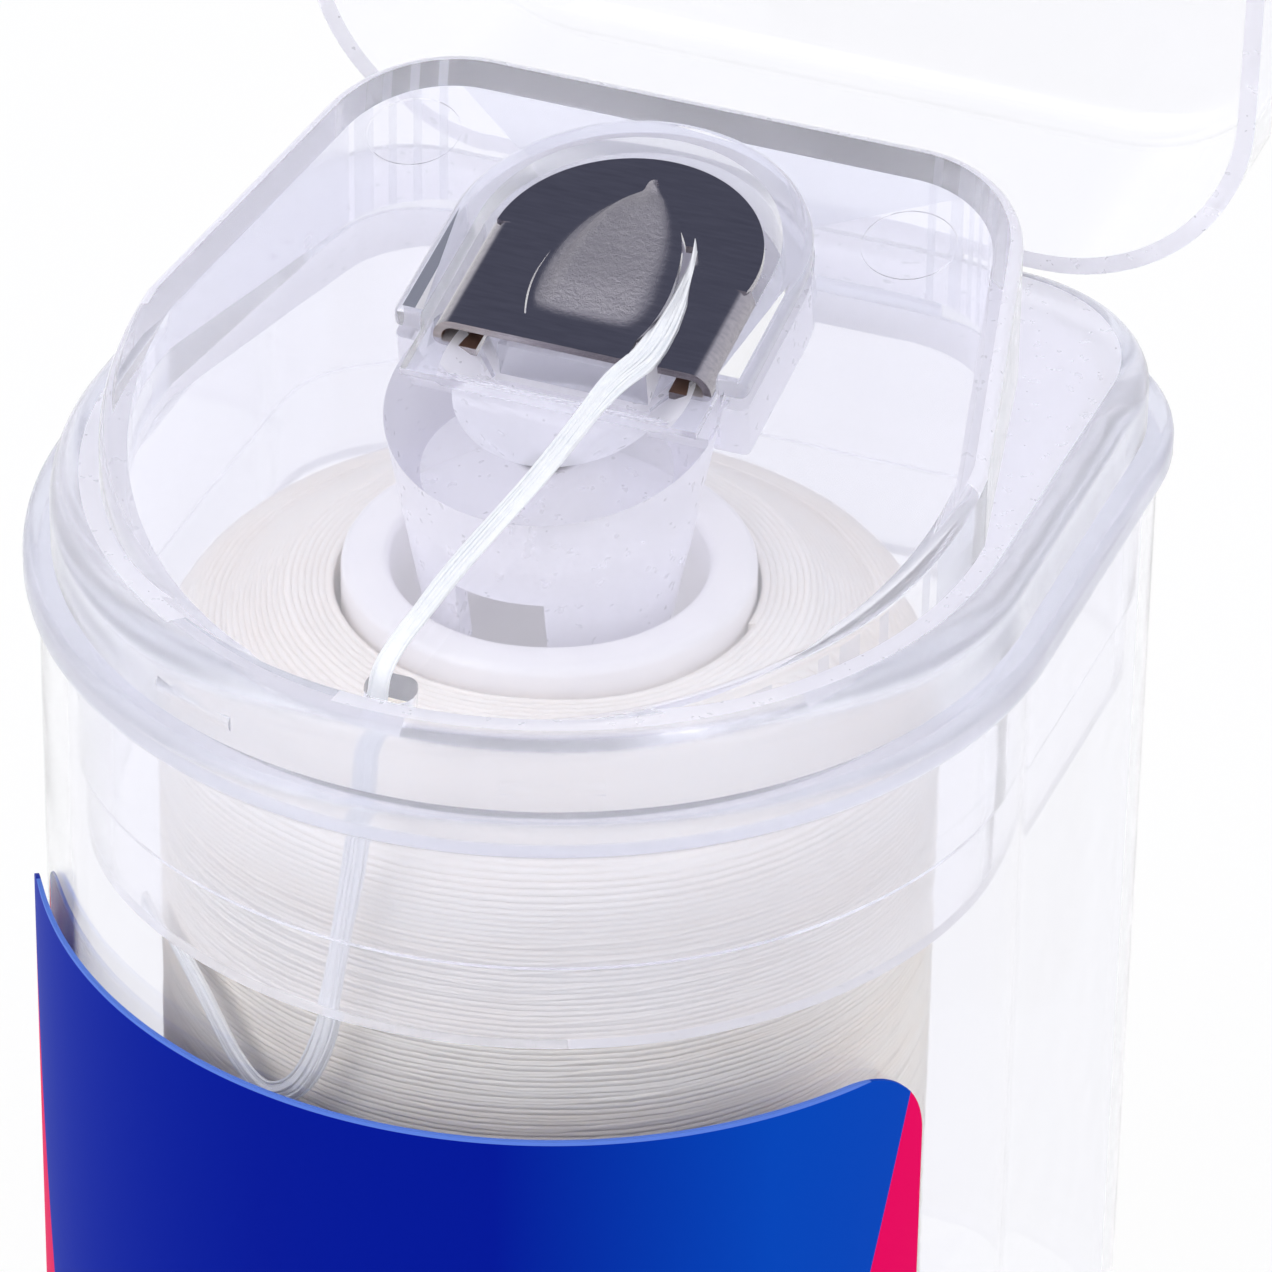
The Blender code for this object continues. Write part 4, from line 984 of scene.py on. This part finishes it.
def winding_tree():
    """Geometry Nodes: carries a strand round Z while it moves along the profile curve it is given."""
    tree = bpy.data.node_groups.new("wind_floss", "GeometryNodeTree")
    face = tree.interface
    for name, kind in (("Geometry", "Geometry"), ("Turns", "Int"), ("Steps per turn", "Int"),
                       ("Sides", "Int"), ("Thread radius", "Float"), ("Wander", "Float"), ("Seed", "Float"),
                       ("Finish", "Material")):
        face.new_socket(name, in_out="INPUT", socket_type="NodeSocket" + kind)
    face.new_socket("Geometry", in_out="OUTPUT", socket_type="NodeSocketGeometry")
    given = add_node(tree, "NodeGroupInput")
    profile = add_node(tree, "GeometryNodeMeshToCurve", {"Mesh": given.outputs["Geometry"]})
    count = calculate(tree, "MULTIPLY", given.outputs["Turns"], given.outputs["Steps per turn"])
    line = add_node(tree, "GeometryNodeMeshLine", {"Count": count})
    index = add_node(tree, "GeometryNodeInputIndex")
    share = calculate(tree, "DIVIDE", index, count)
    spot = add_node(tree, "GeometryNodeSampleCurve", {"Curves": profile, "Factor": share}, mode="FACTOR",
        use_all_curves=True)
    turns = calculate(tree, "DIVIDE", index, given.outputs["Steps per turn"])
    angle = calculate(tree, "MULTIPLY", turns, 2 * pi)
    swung = add_node(tree, "ShaderNodeVectorRotate", {"Vector": spot.outputs["Position"], "Angle": angle},
        rotation_type="Z_AXIS")
    rough = add_node(tree, "ShaderNodeTexNoise", {"W": given.outputs["Seed"], "Scale": 1 / WANDER_LENGTH,
        "Detail": 1.0, "Vector": swung}, noise_dimensions="4D")
    centred = add_node(tree, "ShaderNodeVectorMath", {0: rough.outputs["Color"], 1: (0.5, 0.5, 0.5)},
        operation="SUBTRACT")
    scaled = add_node(tree, "ShaderNodeVectorMath", {0: centred, "Scale": given.outputs["Wander"]},
        operation="SCALE")
    upright = add_node(tree, "ShaderNodeVectorMath", {0: scaled, 1: (0.15, 0.15, 2.0)}, operation="MULTIPLY")
    place = add_node(tree, "ShaderNodeVectorMath", {0: swung, 1: upright}, operation="ADD")
    laid = add_node(tree, "GeometryNodeSetPosition", {"Geometry": line, "Position": place})
    route = add_node(tree, "GeometryNodeMeshToCurve", {"Mesh": laid})
    ring = add_node(tree, "GeometryNodeCurvePrimitiveCircle",
        {"Resolution": given.outputs["Sides"], "Radius": given.outputs["Thread radius"]})
    strand = add_node(tree, "GeometryNodeCurveToMesh",
        {"Curve": route, "Profile Curve": ring, "Fill Caps": True})
    real = add_node(tree, "GeometryNodeRealizeInstances", {"Geometry": strand})
    coated = add_node(tree, "GeometryNodeSetMaterial", {"Geometry": real, "Material": given.outputs["Finish"]})
    add_node(tree, "NodeGroupOutput", {"Geometry": coated})
    return tree


def wound(name, profile, turns, thread, wander, seed):
    """A strand wound over a profile of (radius, height) pairs, as a plain mesh object."""
    values = {"Turns": turns, "Steps per turn": FLOSS_STEPS, "Thread radius": thread / 2, "Sides": FLOSS_SIDES,
        "Wander": wander, "Seed": seed, "Finish": waxed_floss}
    mesh = bpy.data.meshes.new(name)
    mesh.from_pydata([(radius, 0, level) for radius, level in profile],
        [(k, k + 1) for k in range(len(profile) - 1)], [])
    made = link(bpy.data.objects.new(name, mesh))
    step = made.modifiers.new("winding", "NODES")
    step.node_group = winding_tree()
    for socket in step.node_group.interface.items_tree:
        if socket.in_out == "INPUT" and socket.name in values:
            step[socket.identifier] = values[socket.name]
    made.data = evaluated_mesh(made)
    made.modifiers.clear()
    made.data.shade_smooth()
    return made


outside = package_profile(FLOSS_RADIUS - FLOSS_THREAD / 2)
length = sum((Vector(b) - Vector(a)).length for a, b in zip(outside, outside[1:]))
fine_turns = wound("floss_turns_fine", outside, round(length / FLOSS_PITCH), FLOSS_THREAD, FLOSS_WANDER, 1.0)
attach(fine_turns, "bobbin")
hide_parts("floss_turns")
side_low = FLOSS_LOW + 2 * FLOSS_SHOULDER
side_top = FLOSS_TOP - CROSS_MARGIN
side_only = [(FLOSS_RADIUS - CROSS_THREAD / 2, level) for level in (side_low, side_top, side_low)]
cross_turns = wound("floss_turns_crossing", side_only, CROSS_TURNS, CROSS_THREAD, CROSS_WANDER, 5.0)
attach(cross_turns, "bobbin")


# The loose end of the floss is a soft flat tape of parallel filaments, a little under 1 mm wide.
# It leaves the bobbin, hangs in a slack loop, comes up through the outlet and lies up the hood to the cutter.
# Places along it, in mm
STRAND_ROUTE = [(-10.85, -9.10, 27.9), (-7.70, -12.05, 26.9), (-5.90, -13.25, 25.3), (-4.50, -13.85, 24.6),
    (-3.15, -14.25, 25.6), (-2.15, -14.42, 28.0), (-1.50, -14.50, 31.6), (-0.95, -14.45, 35.4),
    (-0.70, -14.25, 38.4), (-0.60, -14.12, 40.4), (-0.50, -14.05, 41.6), (-0.42, -13.85, 42.5),
    (-0.25, -13.05, 43.1), (0.05, -11.60, 43.6), (0.45, -9.40, 44.15), (1.45, -4.80, 45.2), (2.05, -0.20, 46.0),
    (2.55, 2.20, 46.2), (2.62, 4.40, 46.62), (2.50, 6.20, 47.0), (2.35, 7.30, 47.2)]
STRAND_STEP = 0.2 * MM
TAPE_WIDTH = 0.86 * MM
TAPE_THICKNESS = 0.24 * MM
FILAMENTS = 15
FILAMENT_RADIUS = 0.055 * MM
FILAMENT_SIDES = 5
FILAMENT_PITCHES = (0.05, 0.12)
FILAMENT_SWING = 0.35
HEART_SHARES = (0.86, 0.7)
HEART_SIDES = 14
SPREAD = 0.92
SPREAD_IN_SLIT = 0.48
SPREAD_NARROWING = 2.7
SPREAD_WAVER = 0.08
# Where the tape spreads on its way into the slit, and where it narrows again
SLIT_ENTRY = (-2 * MM, 2 * MM)
SLIT_END = (3.2 * MM, 7.6 * MM)

fluffy_floss, tree = empty_material("waxed_floss_tape")
place = own_place(tree)
# Fibre shading 0.4 mm wide
fibre = spots(tree, place, 0.4 * MM, 5.0, 0.7)
tone = two_tones(tree, fibre, "#E6EAF0", "#FFFFFF")
bump = bumps(tree, fibre, 0.4)
thread = principled(tree, {"Base Color": tone, "Roughness": 0.6, "Sheen Weight": 0.3, "Sheen Roughness": 0.4,
    "Normal": bump})
show(tree, thread)


def smooth_route(places, spacing):
    """Points a spacing apart or less on a smooth curve through the places."""
    ends = [2 * places[0] - places[1]] + places + [2 * places[-1] - places[-2]]
    points = []
    for before, start, end, after in zip(ends, ends[1:], ends[2:], ends[3:]):
        count = max(2, ceil((end - start).length / spacing))
        for k in range(count):
            t = k / count
            points.append(0.5 * (2 * start + (end - before) * t
                + (2 * before - 5 * start + 4 * end - after) * t ** 2
                + (3 * start - before - 3 * end + after) * t ** 3))
    return points + [places[-1]]


def tape_frames(points):
    """For each point its side vector and its face vector: outwards on the front, upwards on the hood."""
    frames = []
    for before, after in zip(points[:1] + points, points[1:] + points[-1:]):
        along = (after - before).normalized()
        point = (before + after) / 2
        share = min(max((point.z - RIM_TOP + MM) / (2 * MM), 0), 1)
        outwards = Vector((point.x, point.y, 0)).normalized()
        face = outwards.lerp(Vector((0, -HOOD_SLOPE, 1)).normalized(), share)
        side = along.cross(face).normalized()
        frames.append((side, side.cross(along).normalized()))
    return frames


def add_tube(made, centres, frames, wide, thick, sides):
    """Skins an oval tube along centres into a bmesh; wide and thick are half sizes for each point."""
    turns = [2 * pi * k / sides for k in range(sides)]
    rows = add_quads(made, [[centre + side * w * cos(turn) + face * t * sin(turn) for turn in turns]
        for centre, (side, face), w, t in zip(centres, frames, wide, thick)], closed=True)
    made.faces.new(rows[0][::-1])
    made.faces.new(rows[-1])


random.seed(7)
points = smooth_route([Vector(place) * MM for place in STRAND_ROUTE], STRAND_STEP)
frames = tape_frames(points)
count = len(points)
spread = []
for k, point in enumerate(points):
    in_slit = smooth_step(point.y, *SLIT_ENTRY) - smooth_step(point.y, *SLIT_END) * SPREAD_NARROWING
    waver = SPREAD_WAVER * noise.noise((k * 0.05, 0, 0))
    spread.append(SPREAD + SPREAD_IN_SLIT * in_slit * (point.z > RIM_TOP) + waver)
made = bmesh.new()
add_tube(made, points, frames, [TAPE_WIDTH / 2 * s * HEART_SHARES[0] for s in spread],
    [TAPE_THICKNESS / 2 * HEART_SHARES[1] / s for s in spread], HEART_SIDES)
for filament in range(FILAMENTS):
    start = random.random() * 2 * pi
    pitch = random.uniform(*FILAMENT_PITCHES)
    centres = []
    for k, (point, (side, face)) in enumerate(zip(points, frames)):
        swing = noise.noise((k * pitch * 0.35, filament * 3.7, 0.5))
        place = (2 * (filament + 0.5) / FILAMENTS - 1) * HEART_SHARES[0] + FILAMENT_SWING * swing
        bulge = sqrt(max(0, 1 - min(abs(place), 1) ** 2))
        lift = bulge * sin(start + k * pitch * 0.5)
        centres.append(point + side * place * TAPE_WIDTH / 2 * spread[k] + face * lift * TAPE_THICKNESS / 2)
    add_tube(made, centres, frames, [FILAMENT_RADIUS] * count, [FILAMENT_RADIUS] * count, FILAMENT_SIDES)
loose_floss = finished("loose_floss", made)
loose_floss.data.materials.append(fluffy_floss)
loose_floss.data.shade_smooth()
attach(loose_floss, "case")
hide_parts("floss_strand")


# The label is a printed film stuck round the case's front: deep blue with straight-edged magenta ends
# and a thin pale line along its top edge. It is satin and stands a little off the wall.
LABEL_FILM = 0.15 * MM
LABEL_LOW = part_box("front_label")[0].z
LABEL_TOP = 27.3 * MM
LABEL_HALF_ANGLE = radians(67.0)
LABEL_CORNER = 3.4 * MM
LABEL_COLUMNS = 120
LABEL_EDGE = 0.14 * MM
PANEL_TOP_SHARE = 0.985
PANEL_LOW_SHARE = 0.72

printed_film, tree = empty_material("gloss_printed_film")
spot = add_node(tree, "ShaderNodeUVMap", uv_map="label")
parts = add_node(tree, "ShaderNodeSeparateXYZ", {"Vector": spot.outputs["UV"]})
side = calculate(tree, "ABSOLUTE", parts.outputs["X"])
limit = between(tree, parts.outputs["Y"], PANEL_LOW_SHARE, PANEL_TOP_SHARE)
panel = calculate(tree, "GREATER_THAN", side, limit)
across = add_node(tree, "ShaderNodeMapRange", {"Value": parts.outputs["X"], "From Min": -1.0, "From Max": 1.0})
# Painted light and shade across the curved film: the blue is darker in the middle and lighter towards both
# ends, most on the right
painted_light_tone = ramp(tree, across, [(0.0, "#0029A2"), (0.42, "#001690"), (0.62, "#001690"), (0.85, "#0043B2")])
inks = add_node(tree, "ShaderNodeMixRGB", {"Fac": panel, "Color1": painted_light_tone, "Color2": linear("#E3005A")})
rim = calculate(tree, "GREATER_THAN", parts.outputs["Y"], 1 - LABEL_EDGE / (LABEL_TOP - LABEL_LOW))
ink = add_node(tree, "ShaderNodeMixRGB", {"Fac": rim, "Color1": inks, "Color2": linear("#5C7FD6")})
place = own_place(tree)
# Orange peel of the laminate, 0.8 mm wide
peel = spots(tree, place, 0.8 * MM)
bump = bumps(tree, peel, 0.06)
painted_layer = principled(tree, {"Base Color": ink, "Roughness": 0.5, "Specular IOR Level": 0.02, "Normal": bump})
show(tree, painted_layer)

radius = CASE_RADIUS + SEAT_GAP
half_arc = radius * LABEL_HALF_ANGLE
straight = half_arc - LABEL_CORNER
ends = [straight + LABEL_CORNER * sin(a) for a in quarter(CORNER_STEPS)]
columns = ([-x for x in ends[::-1]] + [straight * (2 * k / LABEL_COLUMNS - 1) for k in range(1, LABEL_COLUMNS)]
    + ends)
sheet = bmesh.new()
shares_uv = sheet.loops.layers.uv.new("label")
pairs = []
for spot_along in columns:
    past = max(abs(spot_along) - straight, 0)
    cut = LABEL_CORNER - sqrt(max(LABEL_CORNER ** 2 - past ** 2, 0))
    angle = spot_along / radius - pi / 2
    pairs.append([sheet.verts.new((radius * cos(angle), radius * sin(angle), level))
        for level in (LABEL_LOW + cut, LABEL_TOP - cut)])
for (first, second), start, end in zip(zip(pairs, pairs[1:]), columns, columns[1:]):
    face = sheet.faces.new((first[0], second[0], second[1], first[1]))
    for loop in face.loops:
        vertex = loop.vert
        loop[shares_uv].uv = ((start if vertex in first else end) / half_arc,
            (vertex.co.z - LABEL_LOW) / (LABEL_TOP - LABEL_LOW))
printed_label = finished("printed_label", sheet)
thicken(printed_label, LABEL_FILM, 1)
printed_label = applied(printed_label, printed_film)
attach(printed_label, "case")
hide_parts("front_label")
